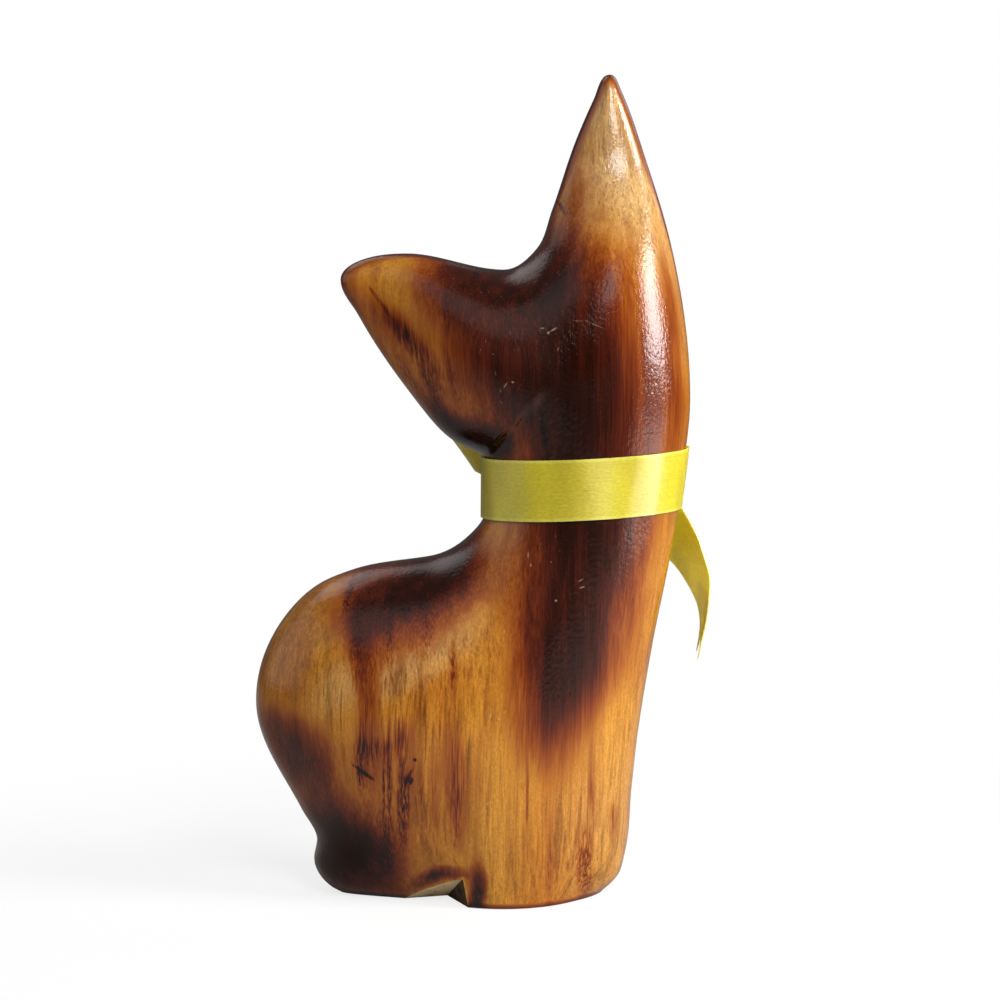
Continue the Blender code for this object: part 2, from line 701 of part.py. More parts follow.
def right_tail_mesh():
    """Right tail: round the neck from under the knot, then hanging free and twisting."""
    first = math.acos((KNOT_SIDE + RIBBON_GAP - KNOT_OFFSET) / (0.5 * NECK_WIDTH))
    last = math.radians(38.0)
    stations = []
    steps = 6
    for k in range(steps + 1):
        t = k / steps
        angle = first + t * (last - first)
        share = 0.36 - 0.64 * t**2
        outward = RIBBON_THICKNESS + RIBBON_GAP + 0.0007 + 0.0034 * t**1.5
        centre = collar_point(angle, share, outward)
        lying = collar_point(angle, share + 0.5, outward) - collar_point(angle, share - 0.5, outward)
        turned = RIBBON_WIDTH * Vector((0.40, -0.56, 0.72))
        width = lying.lerp(turned, t**2) * min(1.0, 0.5 + 1.2 * t)
        stations.append((*centre, *width))
    free = (
        (-0.0014, 0.00, (0.55, -0.72, 0.43)),
        (0.0018, 0.17, (0.42, -0.84, 0.33)),
        (0.0041, 0.34, (0.31, -0.92, 0.26)),
        (0.0052, 0.51, (0.14, -0.97, 0.20)),
        (0.0053, 0.68, (0.03, -0.99, 0.12)),
        (0.0046, 0.84, (-0.03, -1.0, 0.05)),
        (0.0038, 0.98, (-0.04, -1.0, 0.0)),
    )
    for out, fallen, direction in free:
        stations.append((
            NECK_X + 0.5 * NECK_WIDTH + out,
            0.0130,
            RIBBON_Z - 0.0163 - fallen * TAIL_FALL,
            *(RIBBON_WIDTH * d for d in direction),
        ))
    return strip_mesh(stations, 40, notch=0.10)


def left_tail_mesh():
    """Left tail: down the face side of the chest from under the knot."""
    centre = knot_place()
    stations = []
    steps = 8
    top = centre.z - 0.5 * KNOT_HEIGHT - RIBBON_GAP
    for k in range(steps + 1):
        t = k / steps
        x = centre.x - 0.0010 - 0.0120 * t**1.3
        z = top - TAIL_LENGTH * 0.93 * t
        width = RIBBON_WIDTH * min(1.0, 0.55 + 1.6 * t)
        reach = 0.0
        for share in (-0.5, 0.0, 0.5):
            reach = max(reach, half_thickness(x + share * width, z, 1)[0])
        y = reach + RIBBON_GAP + 0.0006 + 0.0016 * math.sin(math.pi * t)
        y += (centre.y - 0.0010 - y) * (1.0 - t) ** 6
        stations.append((x, y, z, width, 0.0, 0.18 * width * t))
    return strip_mesh(stations, 26, notch=0.13)


def make_material(name, colour, roughness, coat=0.0):
    material = bpy.data.materials.new(name)
    material.use_nodes = True
    shader = material.node_tree.nodes["Principled BSDF"]
    shader.inputs["Base Color"].default_value = (*colour, 1.0)
    shader.inputs["Roughness"].default_value = roughness
    shader.inputs["Metallic"].default_value = 0.0
    shader.inputs["Coat Weight"].default_value = coat
    return material


def make_object(name, mesh, material, smooth_angle):
    data = bpy.data.meshes.new(name)
    mesh.to_mesh(data)
    mesh.free()
    data.shade_smooth()
    data.set_sharp_from_angle(angle=math.radians(smooth_angle))
    data.materials.append(material)
    obj = bpy.data.objects.new(name, data)
    bpy.context.scene.collection.objects.link(obj)
    return obj


def build():
    for obj in list(bpy.data.objects):
        bpy.data.objects.remove(obj)

    wood = make_material("lacquered_albesia", (0.36, 0.17, 0.05), 0.28, 0.6)
    satin = make_material("yellow_satin", (0.56, 0.49, 0.03), 0.35)

    body = make_object("cat_body", body_mesh(), wood, 40.0)
    cutter = make_object("notch_cutter", notch_mesh(), wood, 30.0)
    cutter.hide_render = True
    cutter.display_type = "WIRE"
    cut = body.modifiers.new("notch", "BOOLEAN")
    cut.operation = "DIFFERENCE"
    cut.solver = "EXACT"
    cut.object = cutter

    make_object("ribbon_collar", collar_mesh(), satin, 40.0)
    make_object("ribbon_knot", knot_mesh(), satin, 50.0)
    make_object("ribbon_loop_left", loop_mesh(-1.0, LEFT_LOOP_LEAN, LEFT_LOOP_RISE), satin, 40.0)
    make_object("ribbon_loop_right", loop_mesh(1.0, RIGHT_LOOP_LEAN, RIGHT_LOOP_RISE), satin, 40.0)
    make_object("ribbon_tail_right", right_tail_mesh(), satin, 40.0)
    make_object("ribbon_tail_left", left_tail_mesh(), satin, 40.0)


build()
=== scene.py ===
import math

import bmesh
import bpy
import numpy as np
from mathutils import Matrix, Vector, noise
from mathutils.geometry import delaunay_2d_cdt


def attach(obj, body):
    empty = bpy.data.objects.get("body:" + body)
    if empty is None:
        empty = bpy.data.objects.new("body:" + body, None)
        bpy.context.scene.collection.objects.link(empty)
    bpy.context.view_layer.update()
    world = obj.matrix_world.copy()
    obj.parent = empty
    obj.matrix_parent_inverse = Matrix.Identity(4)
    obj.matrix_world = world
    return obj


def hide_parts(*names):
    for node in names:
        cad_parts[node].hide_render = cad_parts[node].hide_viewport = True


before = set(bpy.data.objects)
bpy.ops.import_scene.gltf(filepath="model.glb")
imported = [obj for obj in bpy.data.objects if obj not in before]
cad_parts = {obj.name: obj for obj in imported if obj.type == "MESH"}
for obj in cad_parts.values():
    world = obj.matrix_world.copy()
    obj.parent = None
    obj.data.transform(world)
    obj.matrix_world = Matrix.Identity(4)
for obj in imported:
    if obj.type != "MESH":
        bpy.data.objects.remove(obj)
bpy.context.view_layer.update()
print("Loaded the packed part:", ", ".join(sorted(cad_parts)))

mm = 0.001  # shapes below are in millimetres, in the part's own axes


def linear(code):
    # one sRGB hex colour, as the linear colour that a shader wants
    channels = [int(code[k:k + 2], 16) / 255.0 for k in (1, 3, 5)]
    return tuple(c / 12.92 if c <= 0.04045 else ((c + 0.055) / 1.055) ** 2.4 for c in channels) + (1.0,)


def fillInputs(tree, node, inputs):
    # each input takes a value, a socket, or the first live output of another node
    for name, value in inputs.items():
        if isinstance(value, bpy.types.Node):
            value = next(socket for socket in value.outputs if socket.enabled)
        if isinstance(value, bpy.types.NodeSocket):
            tree.links.new(value, node.inputs[name])
        else:
            node.inputs[name].default_value = value


def addNode(tree, kind, inputs=None, **settings):
    node = tree.nodes.new("ShaderNode" + kind)
    for name, value in settings.items():
        setattr(node, name, value)
    fillInputs(tree, node, inputs or {})
    return node


def startMaterial(name):
    material = bpy.data.materials.new(name)
    material.use_nodes = True
    tree = material.node_tree
    return material, tree, tree.nodes["Principled BSDF"]


def placeObject(name, data):
    made = bpy.data.objects.new(name, data)
    bpy.context.scene.collection.objects.link(made)
    return made


def addPiece(name, data, materials, slot, *replaced):
    for material in materials:
        data.materials.append(material)
    piece = placeObject(name, data)
    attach(piece, "root")
    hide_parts(*replaced)
    return piece


def smoothstep(value):
    t = np.clip(value, 0.0, 1.0)
    return t * t * (3.0 - 2.0 * t)


def bump(u, v, centre, size):
    return np.exp(-(((u - centre[0]) / size[0]) ** 2) - ((v - centre[1]) / size[1]) ** 2)


# The carved block: the same outline and thickness law as the solid, drawn finer. Lengths in mm.
cat = {
    "heelHeight": 13.0,
    "haunchRise": 35.5,
    "backRise": 35.5,
    "neckLength": 26.0,
    "headHeight": 46.5,
    "earHeight": 48.0,
    "neckX": 28.0,
    "neckWidth": 50.0,
    "heelReach": 67.9,
    "haunchReach": 82.9,
    "earReach": 61.1,
    "earTipOffset": 5.6,
    "headFront": 25.9,
    "chestFront": 21.6,
    "shinFront": 11.7,
    "toeFront": 4.4,
    "earDroop": 3.0,
    "earTipRadius": 1.9,
    "bodyHalf": 26.3,
    "earHalf": 5.6,
    "bodyRadius": 16.0,
    "earRadius": 4.5,
    "thighBulge": 2.2,
    "footBulge": 3.0,
}
neckX = cat["neckX"]
haunchZ = cat["heelHeight"] + cat["haunchRise"]
backZ = haunchZ + cat["backRise"]
jawZ = backZ + cat["neckLength"]
dipZ = jawZ + cat["headHeight"]
topZ = dipZ + cat["earHeight"]
neckLeft = neckX - cat["neckWidth"] / 2
earX = neckX - cat["earReach"]
heelX = neckX - cat["heelReach"]
haunchX = neckX - cat["haunchReach"]


def outlineAnchors():
    # x, z and a heading in degrees where one is set, clockwise from the tip of the upright ear
    front, chest, shin, toe = (neckX + cat[k] for k in ("headFront", "chestFront", "shinFront", "toeFront"))
    tipX, tip = neckX + cat["earTipOffset"], cat["earTipRadius"]
    heel, earTop = cat["heelHeight"], dipZ - cat["earDroop"]
    return [
        (tipX, topZ, 0.0),
        (tipX + 1.5 * tip, topZ - 2.1 * tip, -65.0),
        (front - 11.3, dipZ + 27.0, None),
        (front - 5.3, dipZ + 7.4, None),
        (front, jawZ + 14.0, -90.0),
        (front - 1.3, jawZ - 1.0, None),
        (chest, backZ + 3.5, None),
        (chest - 5.0, haunchZ + 13.0, None),
        (shin + 1.3, haunchZ - 10.3, None),
        (shin, heel + 13.0, None),
        (shin - 1.5, heel - 3.0, None),
        (toe + 4.1, 4.2, None),
        (toe, 0.0, -138.0),
        (neckX - 6.0, -20.0, None),
        (neckX - 28.0, -42.0, 180.0),
        (neckX - 40.5, -25.0, 92.0),
        (neckX - 41.2, -8.0, 104.0),
        (neckX - 44.5, -3.8, 168.0),
        (heelX + 8.0, -0.8, 170.0),
        (heelX - 0.5, heel - 6.0, None),
        (heelX + 0.1, heel + 0.8, None),
        (heelX - 3.6, heel + 7.8, None),
        (haunchX, haunchZ, 90.0),
        (haunchX + 6.7, haunchZ + 20.2, None),
        (haunchX + 15.7, haunchZ + 29.2, None),
        (haunchX + 24.3, backZ - 2.6, None),
        (neckLeft - 14.0, backZ + 0.9, 10.0),
        (neckLeft - 5.0, backZ + 5.5, None),
        (neckLeft, backZ + 13.0, 86.0),
        (neckLeft, jawZ - 1.4, 93.0),
        (neckLeft - 1.6, jawZ + 0.7, 150.0),
        (neckLeft - 8.5, jawZ + 4.2, None),
        (neckLeft - 15.7, jawZ + 11.7, 128.0),
        (earX + 4.5, earTop - 8.5, None),
        (earX, earTop + 0.5, 90.0),
        (earX + 4.0, earTop + 4.9, 24.0),
        (earX + 16.5, earTop + 7.0, 0.0),
        (neckX - 20.5, dipZ, 0.0),
        (neckX - 12.4, dipZ + 5.2, None),
        (neckX - 8.6, dipZ + 14.8, None),
        (neckX - 2.7, dipZ + 32.0, None),
        (tipX - 2.1 * tip, topZ - 3.2 * tip, 65.0),
    ]


def smoothOutline(step):
    anchors = outlineAnchors()
    headings = []
    for index, (x, z, heading) in enumerate(anchors):
        if heading is None:  # the heading of a curve through the neighbours
            before = np.array((x, z)) - np.array(anchors[index - 1][:2])
            after = np.array(anchors[(index + 1) % len(anchors)][:2]) - np.array((x, z))
            mixed = before / (before @ before) + after / (after @ after)
            headings.append(mixed / np.hypot(*mixed))
        else:
            headings.append(np.array((math.cos(math.radians(heading)), math.sin(math.radians(heading)))))
    points = []
    for index, anchor in enumerate(anchors):
        following = (index + 1) % len(anchors)
        p0, p3 = np.array(anchor[:2]), np.array(anchors[following][:2])
        chord = np.hypot(*(p3 - p0))
        turn = math.acos(max(-1.0, min(1.0, float(headings[index] @ headings[following]))))
        reach = chord / (3.0 * math.cos(min(turn, 2.1) / 4.0))
        p1, p2 = p0 + reach * headings[index], p3 - reach * headings[following]
        count = max(1, math.ceil(chord / step), math.ceil(turn / math.radians(9.0 if step < 1.4 else 18.0)))
        for k in range(count):
            t = k / count
            s = 1.0 - t
            points.append(s**3 * p0 + 3 * s * s * t * p1 + 3 * s * t * t * p2 + t**3 * p3)
    return np.array(points)


lawOutline = smoothOutline(1.5)


def edgeDistance(x, z):
    # smooth distance to the outline: exact close to it, and soft along the middle
    along = np.roll(lawOutline, -1, axis=0) - lawOutline
    length = np.hypot(along[:, 0], along[:, 1])
    unit = along / length[:, None]
    found = []
    for part in range(0, len(x), 3000):
        dx = x[part:part + 3000, None] - lawOutline[None, :, 0]
        dz = z[part:part + 3000, None] - lawOutline[None, :, 1]
        s0 = -(dx * unit[:, 0] + dz * unit[:, 1])
        s1 = s0 + length
        h2 = (dx * unit[:, 1] - dz * unit[:, 0]) ** 2 + 1e-5
        pull = (s1 / np.sqrt(h2 + s1 * s1) - s0 / np.sqrt(h2 + s0 * s0)) / h2
        found.append(np.sqrt(2.0 / pull.sum(axis=1)))
    return np.concatenate(found)


# The face on the far side: places and sizes in mm, up and across the tilted head.
face = {
    "centre": (neckX - 8.0, jawZ + 19.0),
    "tilt": math.radians(27.0),
    "width": 52.0,
    "relief": 2.6,
    "muzzle": 3.4,
    "eyeLength": 12.0,
    "eyeDepth": 0.9,
    "eyeRim": 1.1,
    "eyeOffset": 12.0,
    "eyeRaise": 3.5,
    "eyeSlant": math.radians(14.0),
    "lineWidth": 0.55,
    "lineDepth": 0.45,
    "window": (-31.0, 13.0),  # lowest and highest place that is drawn finer
    "strokeWindow": (19.0, -18.0, 9.0),  # half width, lowest and highest place of the strokes
}


def facePlace(x, z):
    # across the face, and up it along the tilted middle line of the head
    dx, dz = x - face["centre"][0], z - face["centre"][1]
    c, s = math.cos(face["tilt"]), math.sin(face["tilt"])
    return dx * c + dz * s, dz * c - dx * s


def chinLine(across):
    half = face["width"] / 2
    return -24.0 + 13.5 * (across / half) ** 2 * (across < 0) + 4.5 * (across / half) ** 2


# The crease under the cheek on the back of the head, from the jaw up.
crease = {
    "lean": math.radians(48.0),
    "depth": 2.2,
    "start": -14.0,
    "end": 26.0,
    "edge": 1.8,
    "run": 11.0,
}


def cheekRelief(x, z):
    # back of the head: the cheek stands proud of the neck along a crease from the jaw
    dx, dz = x - (neckLeft - 0.5), z - (jawZ + 0.5)
    c, s = math.cos(crease["lean"]), math.sin(crease["lean"])
    along, off = dx * c + dz * s, dx * s - dz * c
    fade = smoothstep((crease["end"] - along) / 22.0) * smoothstep((along - crease["start"]) / 8.0)
    fall = np.exp(-np.clip(off, 0.0, None) / crease["run"])
    return -crease["depth"] * fade * smoothstep(off / crease["edge"] + 0.5) * fall


def eyeInside(across, up, side):
    # how far inside the almond of one eye a place is, and where along and across it
    slant = side * face["eyeSlant"]
    out, rise = across - side * face["eyeOffset"], up - face["eyeRaise"]
    u = out * math.cos(slant) + rise * math.sin(slant)
    w = rise * math.cos(slant) - out * math.sin(slant)
    almond = np.clip(1.0 - (2.0 * u / face["eyeLength"]) ** 2, 0.0, 1.0) ** 0.675
    return 0.27 * face["eyeLength"] * almond - np.abs(w), u, w


def strokes():
    # knife strokes of a plain cat face: nose, lip, mouth and whiskers, as (across, up) lines
    lines = [
        [(-1.9, -8.6), (0.5, -8.1), (2.9, -8.6), (0.5, -11.2), (-1.9, -8.6)],
        [(0.5, -11.2), (0.5, -14.2)],
    ]
    for side in (-1.0, 1.0):
        lines.append([(0.5, -14.2), (0.5 + side * 2.6, -15.9), (0.5 + side * 5.4, -15.2)])
        for drop, fall in ((0.0, 1.2), (1.9, -0.6), (3.8, -2.4)):
            lines.append([(0.5 + side * 8.2, -11.0 - drop), (0.5 + side * 16.5, -11.0 - drop + fall)])
    return lines


def strokeMask(across, up):
    nearest = np.full_like(across, 1e3)
    for line in strokes():
        for (a0, u0), (a1, u1) in zip(line, line[1:]):
            da, du = a1 - a0, u1 - u0
            t = np.clip(((across - a0) * da + (up - u0) * du) / (da * da + du * du), 0.0, 1.0)
            nearest = np.minimum(nearest, np.hypot(across - a0 - t * da, up - u0 - t * du))
    return np.exp(-((nearest / (0.5 * face["lineWidth"])) ** 2))


def burntLines(x, z, side):
    # where the face is drawn with a hot point: 1 in a line, 0 off it
    if side < 0:
        return np.zeros_like(x)
    across, up = facePlace(x, z)
    mask = strokeMask(across, up)
    for eye in (-1.0, 1.0):
        inside, u, w = eyeInside(across, up, eye)
        mask = np.maximum(mask, np.exp(-(((inside - 0.25) / 0.45) ** 2)) * (np.abs(u) < 6.6))
        mask = np.maximum(mask, (inside > 0.0) * smoothstep(1.6 - np.abs(u)))
    return mask


def faceRelief(x, z):
    across, up = facePlace(x, z)
    below = chinLine(across) - up
    relief = -face["relief"] * smoothstep(below / 2.4 + 0.5) * np.exp(-np.clip(below - 8.0, 0.0, None) / 20.0)
    relief += face["muzzle"] * bump(across, up, (0.5, -12.0), (9.2, 8.0))
    relief += 0.4 * face["muzzle"] * bump(across, up, (0.0, 2.0), (4.2, 11.0))
    relief += 0.7 * bump(across, up, (0.5, -9.4), (1.7, 1.4))
    for eye in (-1.0, 1.0):
        inside = eyeInside(across, up, eye)[0]
        ball = 0.7 * smoothstep(inside / (0.27 * face["eyeLength"]))
        relief -= face["eyeDepth"] * np.clip(inside / face["eyeRim"], 0.0, 1.0) * (1.0 - ball)
    return relief - face["lineDepth"] * strokeMask(across, up)


def halfThickness(x, z, side):
    x, z = np.atleast_1d(x).astype(float), np.atleast_1d(z).astype(float)
    distance = edgeDistance(x, z)
    topEar = smoothstep((z - (dipZ - 8.0)) / (cat["earHeight"] - 10.0))
    sideEar = smoothstep((neckLeft + 6.0 - x) / (cat["earReach"] - 25.0)) * smoothstep((z - jawZ) / 10.0)
    thin = np.maximum(topEar, sideEar)
    full = cat["bodyHalf"] + (cat["earHalf"] - cat["bodyHalf"]) * thin
    radius = cat["bodyRadius"] + (cat["earRadius"] - cat["bodyRadius"]) * thin
    height = full * np.sqrt(1.0 - np.exp(-distance * 2.0 * radius / full**2))
    inner = smoothstep(distance / 12.0)
    height += cat["thighBulge"] * inner * bump(x, z, (haunchX + 37.0, haunchZ - 2.0), (26.0, 30.0))
    height += cat["footBulge"] * inner * bump(x, z, (neckX - 18.0, 0.0), (18.0, 30.0))
    relief = cheekRelief(x, z) if side < 0 else faceRelief(x, z)
    return np.clip(height + relief * smoothstep(distance / 8.0), 0.0, None)


# How finely the carved surface is drawn, in mm between points.
detail = {
    "rim": 1.3,
    "plain": 1.6,
    "face": 0.8,
    "strokes": 0.4,  # round the nose, mouth, whiskers and eyes
    "edgeAngles": (9, 18, 27, 36, 46, 56),  # rows of points round the rounded edge, in degrees
    "edgeGap": 0.19,  # rim points closer than this are dropped
    "faceGap": 0.37,  # so are points of the face side closer than this
    "loopGap": 0.9,  # least distance of the other points from the outline
    "rowGap": 0.75,  # and from the points of the rounded edge
    "base": 60,  # steps along the flat base
}


def insideOutline(x, z, outline):
    x0, z0 = outline[:, 0], outline[:, 1]
    x1, z1 = np.roll(x0, -1), np.roll(z0, -1)
    crosses = (z0[None, :] > z[:, None]) != (z1[None, :] > z[:, None])
    slope = (x1 - x0) / np.where(z1 == z0, 1e-9, z1 - z0)
    hits = crosses & (x[:, None] < x0[None, :] + (z[:, None] - z0[None, :]) * slope[None, :])
    return hits.sum(axis=1) % 2 == 1


def nearestDistance(points, others):
    found = []
    for part in range(0, len(points), 2000):
        gap = points[part:part + 2000, None, :] - others[None, :, :]
        found.append(np.sqrt((gap * gap).sum(axis=2).min(axis=1)))
    return np.concatenate(found) if found else np.zeros(0)


def rimPoints():
    # the outline above the table, clockwise from the heel corner over the ears to the toe
    outline = smoothOutline(detail["rim"])
    low = 0.25
    first = max(k for k in range(len(outline)) if outline[k][1] < low) + 1
    turned = np.roll(outline, -first, axis=0)
    kept = turned[turned[:, 1] >= low]
    ends = []
    for a, b in zip(lawOutline, np.roll(lawOutline, -1, axis=0)):
        if (a[1] > 0.0) != (b[1] > 0.0):
            ends.append(a[0] + a[1] / (a[1] - b[1]) * (b[0] - a[0]))
    return np.vstack([(min(ends), 0.0), kept, (max(ends), 0.0)])


def evenGrid(step):
    rise = step * math.sqrt(3.0) / 2.0
    rows = []
    for row in range(1, int(topZ / rise)):
        x = np.arange(haunchX + (0.5 * step if row % 2 else 0.0), neckX + cat["headFront"], step)
        rows.append(np.stack([x, np.full_like(x, row * rise)], axis=1))
    return np.vstack(rows)


def thinned(points, step):
    # drops the points that crowd ones already kept, with a coarse grid of cells to look in
    kept = []
    cells = {}
    for point in points:
        column, row = int(point[0] // step), int(point[1] // step)
        near = [q for i in (-1, 0, 1) for j in (-1, 0, 1) for q in cells.get((column + i, row + j), ())]
        if all((point[0] - q[0]) ** 2 + (point[1] - q[1]) ** 2 > step * step for q in near):
            cells.setdefault((column, row), []).append(point)
            kept.append(point)
    return np.array(kept)


def onFace(points, half, lowest, highest):
    across, up = facePlace(points[:, 0], points[:, 1])
    return (np.abs(across) < half) & (up > lowest) & (up < highest)


def sidePoints(side, loop):
    tangent = np.roll(loop, -1, axis=0) - np.roll(loop, 1, axis=0)
    tangent /= np.hypot(tangent[:, 0], tangent[:, 1])[:, None]
    inward = np.stack([tangent[:, 1], -tangent[:, 0]], axis=1)
    rows = []
    for angle in detail["edgeAngles"]:
        offset = cat["bodyRadius"] * (1.0 - math.cos(math.radians(angle)))
        row = loop + offset * inward
        good = insideOutline(row[:, 0], row[:, 1], loop) & (row[:, 1] > 0.5)
        good &= nearestDistance(row, loop) > 0.93 * offset
        rows.append(row[good])
    rows = thinned(np.vstack(rows), detail["edgeGap"])
    grid = evenGrid(detail["plain"])
    if side > 0:
        fine, tiny = evenGrid(detail["face"]), evenGrid(detail["strokes"])
        across, up = facePlace(tiny[:, 0], tiny[:, 1])
        near = strokeMask(across, up) > 0.003
        for eye in (-1.0, 1.0):
            near |= np.abs(eyeInside(across, up, eye)[0] - 0.4) < 1.0
        window = (0.5 * face["width"], *face["window"])
        tiny = tiny[near & onFace(tiny, *face["strokeWindow"])]
        fine = fine[onFace(fine, *window)]
        grid = thinned(np.vstack([tiny, fine, grid[~onFace(grid, *window)]]), detail["faceGap"])
    grid = grid[insideOutline(grid[:, 0], grid[:, 1], loop)]
    grid = grid[nearestDistance(grid, loop) > detail["loopGap"]]
    grid = grid[nearestDistance(grid, rows) > detail["rowGap"]]
    return np.vstack([rows, grid])


def surfaceNormals(x, z, side):
    # outward normal of the thickness law, so that the lacquer's reflections run smooth
    e = 0.03
    dx = (halfThickness(x + e, z, side) - halfThickness(x - e, z, side)) / (2 * e)
    dz = (halfThickness(x, z + e, side) - halfThickness(x, z - e, side)) / (2 * e)
    normals = np.stack([-dx, np.full_like(dx, side), -dz], axis=1)
    return normals / np.linalg.norm(normals, axis=1)[:, None]


def bodyMesh():
    rim = rimPoints()
    base = []
    for k in range(1, detail["base"]):
        t = 0.5 - 0.5 * math.cos(math.pi * k / detail["base"])
        base.append(rim[-1] + t * (rim[0] - rim[-1]))
    loop = np.vstack([rim, base])
    mesh = bmesh.new()
    burntAndShaded = mesh.verts.layers.float.new("burntLine")
    charred = mesh.verts.layers.float.new("charred")
    shared = [mesh.verts.new((x * mm, 0.0, z * mm)) for x, z in rim]
    for vert, value in zip(shared, charField(rim[:, 0], np.zeros(len(rim)), rim[:, 1])):
        vert[charred] = value
    baseRows = []
    for side in (-1, 1):
        placed = np.vstack([loop, sidePoints(side, loop)])
        edges = [(k, (k + 1) % len(loop)) for k in range(len(loop))]
        points, _, faces, origins, _, _ = delaunay_2d_cdt([Vector(p) for p in placed], edges, [], 1, 1e-6)
        x = np.array([p.x for p in points])
        z = np.array([p.y for p in points])
        height = halfThickness(x, z, side)
        mask = burntLines(x, z, side)
        dark = charField(x, side * height, z)
        verts = []
        row = {}
        for index, origin in enumerate(origins):
            source = min(origin) if origin else len(placed)
            if source < len(rim):
                verts.append(shared[source])
                continue
            vert = mesh.verts.new((x[index] * mm, side * height[index] * mm, z[index] * mm))
            vert[burntAndShaded] = mask[index]
            vert[charred] = dark[index]
            verts.append(vert)
            if source < len(loop):
                vert.co.z = 0.0
                row[source] = vert
        baseRows.append([row[k] for k in range(len(rim), len(loop))])
        for a, b, c in faces:
            corners = (verts[a], verts[b], verts[c])
            mesh.faces.new(corners if side < 0 else corners[::-1])
    underside = mesh.faces.new([shared[-1]] + baseRows[0] + [shared[0]] + baseRows[1][::-1])
    underside.material_index = 1
    bmesh.ops.recalc_face_normals(mesh, faces=mesh.faces)
    return mesh


# The cut between the feet, in mm: how high, how far back and how near the middle it goes.
notch = {"height": 8.5, "reach": 10.0, "inset": 7.3}


def notchMesh():
    # a knife cut on each side between the hind foot and the front legs, pale behind, and burnt in front with
    # painted shade for the inside of the cut
    mesh = bmesh.new()
    for side in (-1, 1):
        deep = Vector((neckX - 34.7, side * notch["inset"], 0.0))
        top = Vector((neckX - 30.1, side * 0.9 * cat["bodyHalf"], notch["height"]))
        left = Vector((deep.x - notch["reach"], side * (notch["inset"] + 3.0), 0.0))
        right = Vector((neckX - 28.1, side * 0.9 * cat["bodyHalf"], 0.0))
        outer = side * 1.6 * cat["bodyHalf"]
        start = deep + (top - deep) * (-5.0 / notch["height"])
        corners = [start, start + (top - deep) * ((outer - start.y) / (top.y - deep.y))]
        for foot in (left, right):
            corners.append(start + (foot - deep) * ((outer - start.y) / (foot.y - deep.y)))
        verts = [mesh.verts.new(corner * mm) for corner in corners]
        for (a, b, c), slot in (((0, 1, 2), 2), ((0, 3, 1), 3), ((0, 2, 3), 1), ((1, 3, 2), 1)):
            mesh.faces.new((verts[a], verts[b], verts[c])).material_index = slot
    bmesh.ops.recalc_face_normals(mesh, faces=mesh.faces)
    return mesh


def toData(name, mesh, smooth=True):
    data = bpy.data.meshes.new(name)
    mesh.to_mesh(data)
    mesh.free()
    if smooth:
        data.shade_smooth()
    return data


